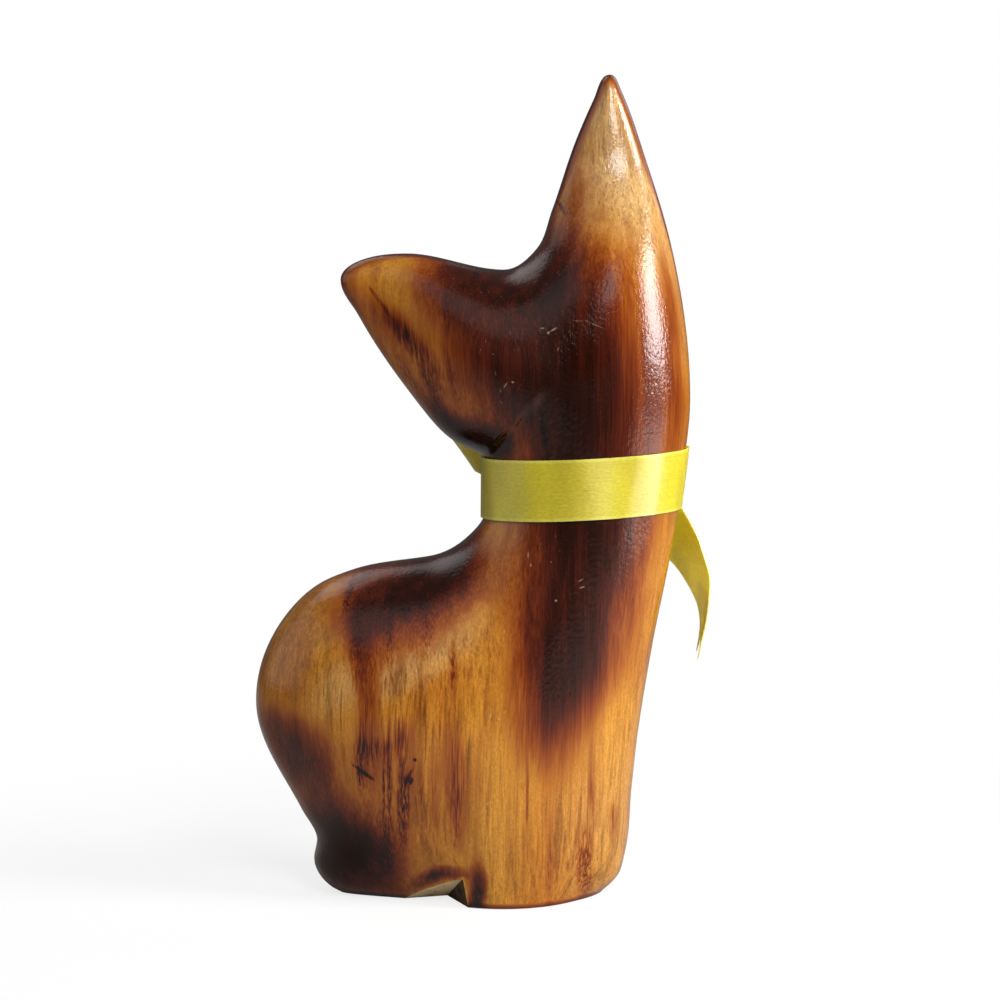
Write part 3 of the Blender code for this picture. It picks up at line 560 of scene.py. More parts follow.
# Scorch marks left by the torch, in mm: x, z, half width, half height, lean in degrees to the
# right, darkness. Near 0.3 the wood is brown, near 0.5 red brown, and from 0.9 on nearly black.
scorch = {
    "back": [
        (25, 128, 11.5, 21, 0, 0.98),  # middle of the head
        (44, 124, 4, 19, -4, 0.2), (48.6, 134, 2.8, 22, -4, 0.24),
        (6, 132, 7.5, 14, -20, 0.56),  # cheek
        (-6, 126, 5, 9, -25, 0.03),
        (7, 153.5, 15, 8.5, -4, 0.56),  # dip between the ears
        (-6, 155, 6, 5, -6, 0.25), (19, 161, 5, 9, 18, 0.18), (26, 180, 3, 16, 14, 0.14),
        (-19.5, 135, 2.6, 15, -34, 0.22),  # lower edge of the left ear
        (-19.5, 142.5, 2, 4.5, -40, 0.4), (-10.5, 131, 2.2, 8, -20, 0.15),
        (3.4, 114.5, 5.2, 3.4, 0, 1.2),  # under the jaw
        (-4.5, 117.5, 7, 2.2, 35, 0.8), (11.5, 114.5, 3.8, 4.6, -30, -0.4),
        (30.5, 90, 8.5, 16, 0, 0.8),  # chest, under the ribbon
        (18, 88, 5, 18, 0, 0.32), (24.5, 66, 7, 11, 6, 0.62), (12.5, 62, 6, 20, 0, 0.2),
        (22, 53, 6, 9, 8, 0.5), (18.5, 40, 6, 8, 4, 0.25),
        (-11, 80.5, 10.5, 6, -12, 0.85),  # where the neck meets the back
        (-2, 91, 3, 8, 14, 0.42), (-25, 77, 8, 5, -14, 0.22),
        (-32, 153, 7, 6, 20, 0.12),  # tip of the left ear
        (-21, 71, 9, 7, 0, 0.3),  # haunch
        (-26.5, 67, 2.6, 7, 0, 0.24), (-27, 60, 4, 12, 0, 0.2), (-49, 43, 5, 4.4, 0, 0.4),
        (-43.5, 38.5, 4, 6, 0, 0.34), (-38, 36, 3, 7, 0, 0.3), (-45.5, 33, 4, 6, -20, 0.3),
        (-37, 27, 5, 4.5, 0, 0.2), (-24, 38, 8, 6, 0, 0.22), (-5, 27, 4, 12, 0, 0.16),
        (-32, 10, 9.4, 8.2, 0, 0.98),  # hind foot
        (-33, 19, 7, 6.5, -20, 0.42), (-21, 11, 4, 6, 0, 0.2),
        (-9, 6.6, 4.4, 1.3, -18, 0.8), (0.2, 3.5, 1.4, 5, 0, 1),  # edges of the cut
    ],
    "face": [
        (5, 154, 14, 7, 0, 1.4), (27, 155, 8, 14, -10, 0.6), (43, 126, 6, 20, -4, 0.9),
        (-17, 136, 3.4, 14, -33, 0.8), (8, 112, 14, 5, 0, 0.8), (34, 84, 9, 22, 0, 1.4),
        (31, 60, 6, 18, 0, 0.9), (-13, 81.5, 12.5, 6.4, -10, 1.5), (-1, 91, 3.4, 9, 14, 1.2),
        (-26, 66, 7, 9, 0, 0.34), (-45.5, 42, 6.5, 5.6, 0, 1.1), (-20, 38, 8, 6, 0, 0.24),
        (-5, 30, 3, 12, 0, 0.3), (-31.5, 11.5, 9.2, 9.6, 0, 1.7), (0.2, 3.5, 1.4, 5, 0, 1),
        (32, 12, 2.4, 9, 0, 0.6),
    ],
    "wander": 1.7,  # mm by which the air stream bent the edges of the marks
    "wanderSize": (11, 30, 16),  # mm across, through and up over which it bent them
    "rimBlend": 7.0,  # mm from the rim over which the marks of the two sides mix
    "darkest": 0.95,  # the torch left no place darker than this
    "fray": 0.45,  # how strongly the fibres show where a mark fades
}


def scorchMarks(x, z, burns):
    total = np.zeros_like(x)
    for markX, markZ, halfX, halfZ, lean, strength in burns:
        c, s = math.cos(math.radians(lean)), math.sin(math.radians(lean))
        dx, dz = x - markX, z - markZ
        apart = ((dx * c - dz * s) / halfX) ** 2 + ((dz * c + dx * s) / halfZ) ** 2
        total += strength * np.exp(-0.6 * apart)
    return total / (1.0 + np.clip(total / scorch["darkest"], 0.0, None) ** 6) ** (1 / 6)


def charField(x, y, z):
    # how dark the torch left each place: its own marks on each side, blended over the rim
    across, through, up = scorch["wanderSize"]
    places = [Vector((a / across, b / through, c / up)) for a, b, c in zip(x, y, z)]
    other = Vector((5.2, 1.3, 8.7))  # another part of the same noise
    x = x + scorch["wander"] * np.array([noise.noise(place) for place in places])
    z = z + 1.5 * scorch["wander"] * np.array([noise.noise(place + other) for place in places])
    share = smoothstep((y + scorch["rimBlend"]) / (2.0 * scorch["rimBlend"]))
    return (1.0 - share) * scorchMarks(x, z, scorch["back"]) + share * scorchMarks(x, z, scorch["face"])


# What else marks the wood, in the same order: x, z, half width, half height, lean, strength.
marks = {
    "bleachedAndSheen": [  # paler zones of the plank, and a painted sheen on the thigh
        (36, 192, 11, 17, 14, 1.1), (33, 18, 9, 15, 0, 0.2), (44, 160, 5, 18, -10, 0.6),
        # painted sheen: the soft shine of the lacquer over the thigh, painted pale into the wood's colour
        (-19, 61.5, 14, 4.6, -28, 0.85),
    ],
    "streaky": [  # livelier zones
        (-22, 44, 11, 22, 0, 1.2), (-6, 34, 8, 18, 0, 0.7), (24, 16, 10, 10, 0, 0.5),
        (-10, 132, 5, 9, -30, 1),
    ],
    "veins": [  # thin dark veins and knocks in the near side
        (-17.3, 26.5, 1.1, 7, 0, 0.8), (-17.8, 42.5, 1.1, 4, 0, 0.6), (-20.6, 35, 0.45, 10, 0, 0.6),
        (-22, 31, 0.3, 9, 0, 0.4), (-27.6, 38, 0.9, 5.5, 0, 0.5), (-24.6, 40.5, 3, 1.6, 0, 0.3),
        (-12.7, 27, 0.6, 7, 0, 0.35), (-4, 28, 1.6, 9, 0, 0.3), (-5, 59, 0.8, 4.5, 0, 0.4),
        (13.2, 24, 0.3, 9, 0, 0.4), (18.6, 11, 0.8, 9, 0, 0.35), (27.6, 9.5, 1.8, 7.5, -3, 0.6),
        (29.2, 28, 0.8, 8, 0, 0.3), (34.2, 20.5, 1.4, 4, 0, 0.35), (-28.7, 66, 1, 7, 0, 0.18),
        (-20.4, 66, 0.7, 5, 0, 0.2), (-30.8, 77, 0.6, 3, 14, 0.5), (-27, 34, 0.32, 2, -55, 1.3),
        (-28.1, 33.2, 0.3, 1.5, -5, 1.2), (-15.9, 33.3, 0.3, 1.6, 25, 1.1), (-15.3, 32.3, 0.45, 0.6, 0, 0.9),
        (-26, 44, 2, 13, 0, 0.2), (-15.4, 40, 1.5, 15, 0, 0.18), (-5, 40, 1.8, 15, 0, 0.16),
        (-9.6, 30, 1.1, 11, 0, 0.2), (1.6, 31, 1.2, 12, 0, 0.18), (-21.5, 21, 1.6, 8, 0, 0.22),
        (-11.5, 66, 1.6, 8, 0, 0.14), (-14.3, 37.6, 0.3, 0.3, 0, 1.1), (-23, 148.6, 0.4, 3.6, -36, 0.5),
        (-16.4, 140, 1.5, 4.6, -44, 0.5), (-13.5, 134, 0.9, 6.5, -26, 0.36),
        (-10.2, 133, 1.3, 5.5, -22, 0.34), (-8.6, 124, 0.9, 6.5, -28, 0.28),
        (-15.5, 129.5, 0.8, 5.5, -32, 0.28), (-5.4, 130.5, 0.8, 6, -14, 0.22),
        (17.3, 117, 0.5, 4.5, -8, 0.5), (21.5, 172, 0.4, 1.4, -30, 0.7),
    ],
    "scuffs": [  # small pale wear marks in the lacquer
        (25.5, 144.7, 0.14, 2.3, -90, 0.5), (30, 143.6, 0.14, 2.5, -66, 0.6),
        (19.5, 142.6, 0.25, 1.04, 60, 0.9), (16.8, 142.9, 0.58, 0.24, 0, 0.8),
        (18.2, 141.8, 0.32, 0.36, 0, 0.9), (20.6, 137.9, 0.22, 0.72, 20, 0.6),
        (7.8, 129, 0.22, 0.96, 30, 0.8), (9.6, 129.8, 0.43, 0.32, 0, 0.8), (6.6, 127.6, 0.25, 0.64, 0, 0.6),
        (46, 131.3, 1.87, 0.18, 0, 0.8), (11, 138.4, 0.12, 1.52, 0, 0.4), (26.2, 81.3, 0.22, 0.96, 60, 0.7),
        (13.4, 87.3, 0.25, 0.88, 0, 0.9), (14, 84.9, 0.29, 0.48, 0, 0.8), (26.6, 79.6, 0.86, 0.24, -18, 0.8),
        (20.2, 76.4, 0.32, 0.36, 0, 0.9), (19, 85.8, 0.22, 0.24, 0, 0.7), (4.2, 48.4, 0.22, 0.8, 15, 0.9),
        (6.2, 47.6, 0.36, 0.24, 0, 0.8), (7.6, 49.2, 0.22, 0.56, 30, 0.7), (3.2, 49.4, 0.22, 0.32, 0, 0.7),
        (3.4, 26.6, 0.65, 0.22, 25, 0.7), (43.5, 97.6, 0.22, 0.72, 20, 0.6),
    ],
    "rubbed": [  # where handling has worn the lacquer off
        (33.5, 156.5, 5.5, 13, 0, 1.6), (26.5, 138, 5, 6.5, 0, 1.5), (-32, 11, 11, 9, 0, 0.7),
    ],
}
# For each kind: y of the middle of its marks, how far they reach from there, both in mm, and how many
# times its half size a mark takes to fade out.
markDepth = {
    "bleachedAndSheen": (-18, 70, 2.0),
    "streaky": (0, 90, 2.0),
    "veins": (-22, 40, 1.9),
    "scuffs": (-22, 40, 1.6),
    "rubbed": (-16, 14, 2.0),
}

# The grain of albesia: colours, and for each pattern the mm across the grain and along it that one
# repeat takes, where it starts, and how much detail and roughness its noise has.
grain = {
    "palest": "#BA7E29",
    "golden": "#A5631B",
    "brown": "#64300A",
    # pale colour of the bleached zones, also used for the painted sheen on the thigh
    "bleachedAndSheen": "#BC955F",
    "pore": "#3E1C06",
    "scuff": "#D8B898",
    "sawn": ("#C49C66", "#8E6636", 0.0),  # pale and dark fibres of the base, and how dark it is
    "cut": ("#F0D8AC", "#BC945A", 0.0),
    # the cut's front wall: burnt, and painted darker for the shade inside the cut
    "burntAndShaded": ("#6B4522", "#22100A", 0.22),
    "char": ("#A0601C", "#8D4A16", "#6A2B0B", "#431509", "#240903", "#110401"),  # light to black
    "sway": (45, 90, 0, 1, 0.5),  # slow bends of the whole grain
    "fibre": (0.45, 14, 0, 3, 0.6),  # drawn coarser than the real 0.1
    "streak": (3.8, 70, 7, 4, 0.62),  # darker streaks
    "line": (0.8, 30, 11, 2, 0.5),  # thin dark lines
    "cloud": (16, 34, 3, 2, 0.5),  # lighter patches
    "speckle": (0.5, 1.1, 0, 2, 0.5),  # soot in the open pores
    "mottle": (0.42, 0.75, 19, 1, 0.5),  # uneven soak of the lacquer
    "hand": (9, 16, 0, 1, 0.5),  # the carver's shallow unevenness
    "skin": (0.8, 1.1, 0, 2, 0.5),  # orange peel of the lacquer
    "sawnFibre": (0.5, 6, 0, 3, 0.5),
    "sawnCloud": (4, 6, 0, 2, 0.5),
    "pores": (0.85, 3.2),  # mm from pore to pore
}


def markSum(tree, place, kind):
    # adds up soft ellipsoids, each at its full strength in its middle
    depth, halfDepth, blur = markDepth[kind]
    total = 0.0
    for x, z, halfX, halfZ, lean, strength in marks[kind]:
        spot = addNode(tree, "Mapping", {
            "Vector": place, "Location": (x, depth, z), "Rotation": (0.0, math.radians(lean), 0.0),
            "Scale": (blur * halfX, halfDepth, blur * halfZ)}, vector_type="TEXTURE")
        ball = addNode(tree, "TexGradient", {"Vector": spot}, gradient_type="SPHERICAL").outputs["Fac"]
        total = addNode(tree, "Math", {0: ball, 1: strength, 2: total}, operation="MULTIPLY_ADD")
    return total


def grainPlace(tree, place, across, run, shift=0.0):
    # coordinates stretched along the trunk, so that one unit is one fibre or streak
    return addNode(tree, "Mapping", {"Vector": place, "Location": (shift, shift, shift),
                                     "Scale": (1 / across, 1 / across, 1 / run)})


def grainPattern(tree, place, name):
    across, run, shift, octaves, roughness = grain[name]
    return addNode(tree, "TexNoise", {"Vector": grainPlace(tree, place, across, run, shift), "Scale": 1.0,
                                      "Detail": octaves, "Roughness": roughness})


def inMillimetres(tree):
    where = addNode(tree, "TexCoord").outputs["Object"]
    return addNode(tree, "Mapping", {"Vector": where, "Scale": (1000, 1000, 1000)})


def lacqueredAlbesia():
    # Albesia: a pale, soft wood with long straight grain and coarse pores, flamed with a torch in
    # zones, then brushed with gloss lacquer, so the fibres lie under a clear wet skin.
    material, tree, shader = startMaterial("lacqueredAlbesia")
    place = inMillimetres(tree)
    sway = grainPattern(tree, place, "sway").outputs["Color"]
    swayed = addNode(tree, "VectorMath", {0: sway, 1: (6, 6, 0), 2: place}, operation="MULTIPLY_ADD")
    fibre, streak, fine, cloud = (
        grainPattern(tree, swayed, name) for name in ("fibre", "streak", "line", "cloud"))
    cell = addNode(tree, "TexVoronoi", {"Vector": grainPlace(tree, swayed, *grain["pores"]), "Scale": 1.0})
    poreSize = addNode(tree, "Math", {0: cell.outputs["Color"], 1: 0.16, 2: 0.05}, operation="MULTIPLY_ADD")
    pore = addNode(tree, "Math", {0: cell.outputs["Distance"], 1: poreSize}, operation="LESS_THAN")

    # bare wood: clouds, bleached zones with a painted sheen on the thigh, streaks, thin lines and the bright
    # fibres between them
    patch = addNode(tree, "MapRange", {"Value": cloud, "From Min": 0.34, "From Max": 0.64})
    washedAndSheen = addNode(tree, "Math", {0: markSum(tree, place, "bleachedAndSheen"), 1: 1.4}, operation="MULTIPLY",
                     use_clamp=True)
    lively = addNode(tree, "MapRange", {"Value": markSum(tree, place, "streaky"), "To Min": 0.35})
    band = addNode(tree, "MapRange", {"Value": streak, "From Min": 0.46, "From Max": 0.60})
    band = addNode(tree, "Math", {0: band, 1: lively}, operation="MULTIPLY")
    line = addNode(tree, "MapRange", {"Value": fine, "From Min": 0.54, "From Max": 0.68})
    line = addNode(tree, "Math", {0: line, 1: lively}, operation="MULTIPLY")
    shine = addNode(tree, "MapRange", {"Value": fine, "From Min": 0.44, "From Max": 0.30, "To Max": 0.45})
    tone = linear(grain["golden"])
    layers = ((patch, "palest"), (washedAndSheen, "bleachedAndSheen"), (band, "brown"), (line, "brown"), (shine, "palest"))
    for share, colour in layers:
        tone = addNode(tree, "Mix", {0: share, 6: tone, 7: linear(grain[colour])}, data_type="RGBA")
    thread = addNode(tree, "Math", {0: grainPattern(tree, place, "mottle"), 1: 0.7, 2: fibre},
                     operation="MULTIPLY_ADD")
    thread = addNode(tree, "MapRange", {"Value": thread, "From Min": 0.62, "From Max": 1.08,
                                        "To Min": 0.72, "To Max": 1.22})
    tone = addNode(tree, "Mix", {0: 1.0, 6: tone, 7: thread}, data_type="RGBA", blend_type="MULTIPLY")
    grit = addNode(tree, "MapRange", {"Value": grainPattern(tree, place, "speckle"), "From Min": 0.60,
                                      "From Max": 0.74, "To Max": 0.18})
    dark = addNode(tree, "Math", {0: pore, 1: 0.3, 2: grit}, operation="MULTIPLY_ADD", use_clamp=True)
    tone = addNode(tree, "Mix", {0: dark, 6: tone, 7: linear(grain["pore"])}, data_type="RGBA")

    # scorch: broad marks are held by the mesh, veins and knocks are drawn here, and fibres that
    # caught the flame a little sooner fray both
    charred = addNode(tree, "Attribute", attribute_name="charred").outputs["Fac"]
    vein = markSum(tree, place, "veins")
    broken = addNode(tree, "MapRange", {"Value": fibre, "From Min": 0.36, "From Max": 0.6,
                                        "To Min": 0.25, "To Max": 1.15})
    char = addNode(tree, "Math", {0: vein, 1: broken, 2: charred}, operation="MULTIPLY_ADD")
    uneven = addNode(tree, "Math", {0: streak, 1: 1.3, 2: fibre}, operation="MULTIPLY_ADD")
    uneven = addNode(tree, "Math", {0: uneven, 1: -1.15}, operation="ADD")
    room = addNode(tree, "MapRange", {"Value": char, "From Min": 0.02, "From Max": 0.35,
                                      "To Max": scorch["fray"]})
    char = addNode(tree, "Math", {0: uneven, 1: room, 2: char}, operation="MULTIPLY_ADD")

    # painted shade: the rims of the ears and the edge of the base are darkened thin, where the surface turns
    # away from the light and where it meets the floor, and the face is drawn
    split = addNode(tree, "SeparateXYZ", {"Vector": place})
    edge = addNode(tree, "Math", {0: split.outputs["Y"]}, operation="ABSOLUTE")
    edge = addNode(tree, "MapRange", {"Value": edge, "From Min": 0.5, "From Max": 3.8,
                                      "To Min": 0.7, "To Max": 0.0})
    high = addNode(tree, "MapRange", {"Value": split.outputs["Z"], "From Min": 140, "From Max": 165})
    edge = addNode(tree, "Math", {0: edge, 1: high}, operation="MULTIPLY")
    low = addNode(tree, "MapRange", {"Value": split.outputs["Z"], "From Min": 0.2, "From Max": 1.6,
                                     "To Min": 0.5, "To Max": 0.0})
    # adds the painted shade of the rims to the char
    for rimShade in (edge, low):
        char = addNode(tree, "Math", {0: char, 1: rimShade}, operation="ADD")
    drawn = addNode(tree, "Attribute", attribute_name="burntLine").outputs["Fac"]
    char = addNode(tree, "Math", {0: drawn, 1: 1.1, 2: char}, operation="MULTIPLY_ADD")

    ramp = addNode(tree, "ValToRGB", {"Fac": char})
    for index, colour in enumerate(grain["char"]):
        position = index / (len(grain["char"]) - 1)
        stop = ramp.color_ramp.elements[index] if index < 2 else ramp.color_ramp.elements.new(position)
        stop.position = position
        stop.color = linear(colour)
    cover = addNode(tree, "MapRange", {"Value": char, "From Min": 0.02, "From Max": 0.26},
                    interpolation_type="SMOOTHSTEP")
    tone = addNode(tree, "Mix", {0: cover, 6: tone, 7: ramp}, data_type="RGBA")
    scuffs = addNode(tree, "MapRange", {"Value": markSum(tree, place, "scuffs"), "From Min": 0.25,
                                        "From Max": 0.8, "To Max": 0.34})
    tone = addNode(tree, "Mix", {0: scuffs, 6: tone, 7: linear(grain["scuff"])}, data_type="RGBA")

    # lacquer: smooth skin with a faint pull of the grain and the carver's shallow unevenness, in mm
    coat = addNode(tree, "MapRange", {"Value": markSum(tree, place, "rubbed"), "To Min": 1.0, "To Max": 0.15},
                   interpolation_type="SMOOTHSTEP")
    hand, skin = grainPattern(tree, place, "hand"), grainPattern(tree, place, "skin")
    relief = 0.0
    for pattern, height in ((hand, 0.25), (skin, 0.08), (fibre, 0.03), (pore, -0.02)):
        relief = addNode(tree, "Math", {0: pattern, 1: height, 2: relief}, operation="MULTIPLY_ADD")
    rise = addNode(tree, "Bump", {"Height": relief, "Strength": 1.0, "Distance": mm})
    fillInputs(tree, shader, {
        "Base Color": tone, "Roughness": 0.5, "IOR": 1.5, "Normal": rise,
        "Specular IOR Level": 0.0,  # soaked with lacquer, the wood has no shine of its own
        "Coat Weight": coat, "Coat IOR": 1.47, "Coat Roughness": 0.15, "Coat Normal": rise})
    return material


def rawAlbesia(kind):
    # the same wood freshly cut or sawn, with no lacquer: matt, fibrous and dusty; its darkest copy is the cut's
    # front wall, burnt and painted with the cut's shade
    pale, dark, darkness = grain[kind]
    material, tree, shader = startMaterial(kind + "Albesia")
    place = inMillimetres(tree)
    fibre, cloud = grainPattern(tree, place, "sawnFibre"), grainPattern(tree, place, "sawnCloud")
    mixed = addNode(tree, "Math", {0: fibre, 1: 0.6, 2: cloud}, operation="MULTIPLY_ADD")
    share = addNode(tree, "MapRange", {"Value": mixed, "From Min": 0.8 - darkness, "From Max": 1.1 - darkness})
    tone = addNode(tree, "Mix", {0: share, 6: linear(pale), 7: linear(dark)}, data_type="RGBA")
    rise = addNode(tree, "Bump", {"Height": fibre, "Strength": 1.0, "Distance": 0.12 * mm})
    fillInputs(tree, shader, {"Base Color": tone, "Roughness": 0.7, "IOR": 1.45, "Normal": rise})
    return material


def smoothReflections(data):
    # every corner on the carved surface takes the normal of the thickness law
    places, rough = np.zeros((2, len(data.vertices) * 3))
    data.vertices.foreach_get("co", places)
    data.vertices.foreach_get("normal", rough)
    places, rough = places.reshape(-1, 3) / mm, rough.reshape(-1, 3)
    exact = np.zeros(places.shape)
    for side in (-1, 1):
        chosen = places[:, 1] * side > 1e-4
        exact[chosen] = surfaceNormals(places[chosen, 0], places[chosen, 2], side)
    corners = np.zeros(len(data.loops), dtype=int)
    data.loops.foreach_get("vertex_index", corners)
    normals = np.zeros((len(corners), 3))
    for polygon in data.polygons:
        span = slice(polygon.loop_start, polygon.loop_start + polygon.loop_total)
        normals[span] = exact[corners[span]] if polygon.material_index == 0 else polygon.normal
    missing = np.linalg.norm(normals, axis=1) < 0.5  # corners on the very rim
    normals[missing] = rough[corners[missing]]
    data.normals_split_custom_set(normals.tolist())


def carveBody():
    body = toData("carvedCat", bodyMesh())
    cutter = placeObject("notchCutter", toData("notchCutter", notchMesh(), smooth=False))
    woods = [lacqueredAlbesia()] + [rawAlbesia(kind) for kind in ("sawn", "cut", "burntAndShaded")]
    for wood in woods:
        cutter.data.materials.append(wood)
    piece = addPiece("carvedCat", body, woods, "lacquered_albesia", "cat_body")
    cut = piece.modifiers.new("notch", "BOOLEAN")
    cut.operation, cut.solver, cut.object = "DIFFERENCE", "EXACT", cutter
    cutData = bpy.data.meshes.new_from_object(piece.evaluated_get(bpy.context.evaluated_depsgraph_get()))
    piece.modifiers.clear()
    piece.data = cutData
    bpy.data.objects.remove(cutter)
    smoothReflections(cutData)
    print("Carved the cat:", len(cutData.polygons), "faces")


carveBody()


# The ribbon and its bow, in mm.
ribbon = {
    "width": 15.0,
    "thickness": 0.25,
    "gap": 0.3,
    "tilt": math.radians(2.8),
    "drop": 6.4,
    "loopLength": 20.5,
    "loopDepth": 7.2,
    "tailLength": 54.0,
    "tailFall": 30.2,
    "tailTop": 16.3,  # how far under the collar's middle the right tail hangs free
    "tailDepth": 13.0,  # and how far from the middle of the neck
    "knotWidth": 9.0,
    "knotHeight": 12.0,
    "knotThickness": 6.0,
    "knotOffset": 8.0,
    "colour": "#C8B520",
    "selvedge": "#DDD45A",
    "thread": 0.45,  # mm between the lengthwise floats, drawn coarser than the real 0.15
}
ribbonZ = jawZ - ribbon["drop"]
halfNeck = cat["neckWidth"] / 2
slope = math.tan(ribbon["tilt"])


def satin():
    # Satin ribbon: polyester filaments floating lengthwise, so it shines in soft bands across its
    # length and shows fine lines along it, with a firmer woven selvedge at each edge.
    material, tree, shader = startMaterial("polyesterSatin")
    where = addNode(tree, "UVMap", uv_map="ribbonMm")  # x along the ribbon, y across it, in mm
    side = addNode(tree, "SeparateXYZ", {"Vector": where}).outputs["Y"]
    side = addNode(tree, "Math", {0: side, 1: -0.5 * ribbon["width"]}, operation="ADD")
    side = addNode(tree, "Math", {0: side}, operation="ABSOLUTE")
    selvedge = addNode(tree, "MapRange", {"Value": side, "From Min": 6.6, "From Max": 7.1, "To Max": 0.7})
    tone = addNode(tree, "Mix", {0: selvedge, 6: linear(ribbon["colour"]), 7: linear(ribbon["selvedge"])},
                   data_type="RGBA")

    # mm along and across, detail, range of the noise, and the darkest and lightest it gets
    weave = ((30, ribbon["thread"], 2, 0.3, 0.7, 0.96, 1.03),  # floats
             (9, 22, 1, 0.35, 0.65, 0.88, 1.1),  # slow change of the dye
             (1.1, 0.5, 1, 0.3, 0.7, 0.9, 1.08))  # binding points
    shade, patterns = 1.0, []
    for along, across, detail, low, high, darkest, lightest in weave:
        spot = addNode(tree, "Mapping", {"Vector": where, "Scale": (1 / along, 1 / across, 1)})
        patterns.append(addNode(tree, "TexNoise", {"Vector": spot, "Scale": 1.0, "Detail": detail},
                                noise_dimensions="2D"))
        level = addNode(tree, "MapRange", {"Value": patterns[-1], "From Min": low, "From Max": high,
                                           "To Min": darkest, "To Max": lightest})
        shade = addNode(tree, "Math", {0: shade, 1: level}, operation="MULTIPLY")
    tone = addNode(tree, "Mix", {0: 1.0, 6: tone, 7: shade}, data_type="RGBA", blend_type="MULTIPLY")
    relief = addNode(tree, "Math", {0: patterns[0], 1: 0.6, 2: patterns[2]}, operation="MULTIPLY_ADD")
    fillInputs(tree, shader, {
        "Base Color": tone, "Roughness": 0.29, "IOR": 1.58,
        "Specular IOR Level": 1.0, "Specular Tint": linear("#FFFDF0"),
        "Anisotropic": 0.8, "Anisotropic Rotation": 0.25,  # the shine spreads across the floats
        "Tangent": addNode(tree, "Tangent", direction_type="UV_MAP", uv_map="ribbonMm"),
        "Subsurface Weight": 0.85,  # thin enough to glow when lit from behind
        "Subsurface Radius": (1.0, 0.9, 0.4), "Subsurface Scale": 1.2 * mm,
        "Normal": addNode(tree, "Bump", {"Height": relief, "Strength": 1.0, "Distance": 0.03 * mm})})
    return material


satinCloth = satin()


def neckReach(angle, rise):
    # distance from the middle line of the neck to its surface, at an angle and a height
    reach = np.arange(0.0, 1.6 * cat["neckWidth"], 0.25)
    x = neckX + reach * math.cos(angle)
    z = rise + slope * (x - neckX)
    within = insideOutline(x, z, lawOutline)
    side = -1 if math.sin(angle) < 0 else 1
    clear = np.where(within, halfThickness(x, z, side), 0.0) - np.abs(reach * math.sin(angle))
    outside = np.nonzero(~within | (clear <= 0.0))[0]
    return reach[outside[outside > 0][0]]


def collarReach(angle):
    shares = (0.0, 0.25, 0.5, 0.75, 1.0)
    reaches = [neckReach(angle, ribbonZ + (t - 0.5) * ribbon["width"]) for t in shares]
    low, high = reaches[0], reaches[-1]
    over = max(r - (low + t * (high - low)) for t, r in zip(shares, reaches)) + ribbon["gap"]
    return low + over, high + over


collarSteps = 72
collarTable = np.array([collarReach(2.0 * math.pi * k / collarSteps) for k in range(collarSteps)])
eased = 0.5 * collarTable + 0.25 * (np.roll(collarTable, 1, axis=0) + np.roll(collarTable, -1, axis=0))
collarTable = np.maximum(collarTable - 0.05, eased)  # a ribbon pulled tight bridges small dips


def curveThrough(p0, p1, p2, p3, t):
    # the place between p1 and p2 on a smooth curve through four points
    bend, twist = 2 * p0 - 5 * p1 + 4 * p2 - p3, 3 * p1 - p0 - 3 * p2 + p3
    return 0.5 * (2 * p1 + (p2 - p0) * t + bend * t**2 + twist * t**3)


def collarPoint(angle, share, outward):
    # share 0 to 1 goes up the ribbon's width
    place = angle / (2.0 * math.pi) * collarSteps
    first = math.floor(place)
    low, high = curveThrough(*(collarTable[(first + k) % collarSteps] for k in (-1, 0, 1, 2)), place - first)
    reach = low + share * (high - low) + outward
    x = neckX + reach * math.cos(angle)
    return Vector((x, reach * math.sin(angle), ribbonZ + (share - 0.5) * ribbon["width"] + slope * (x - neckX)))


def pathRow(table, place):
    place = place * (len(table) - 1)
    first = min(int(place), len(table) - 2)
    p1, p2 = table[first], table[first + 1]
    p0 = table[first - 1] if first > 0 else 2 * p1 - p2
    p3 = table[first + 2] if first + 2 < len(table) else 2 * p2 - p1
    return curveThrough(p0, p1, p2, p3, place - first)


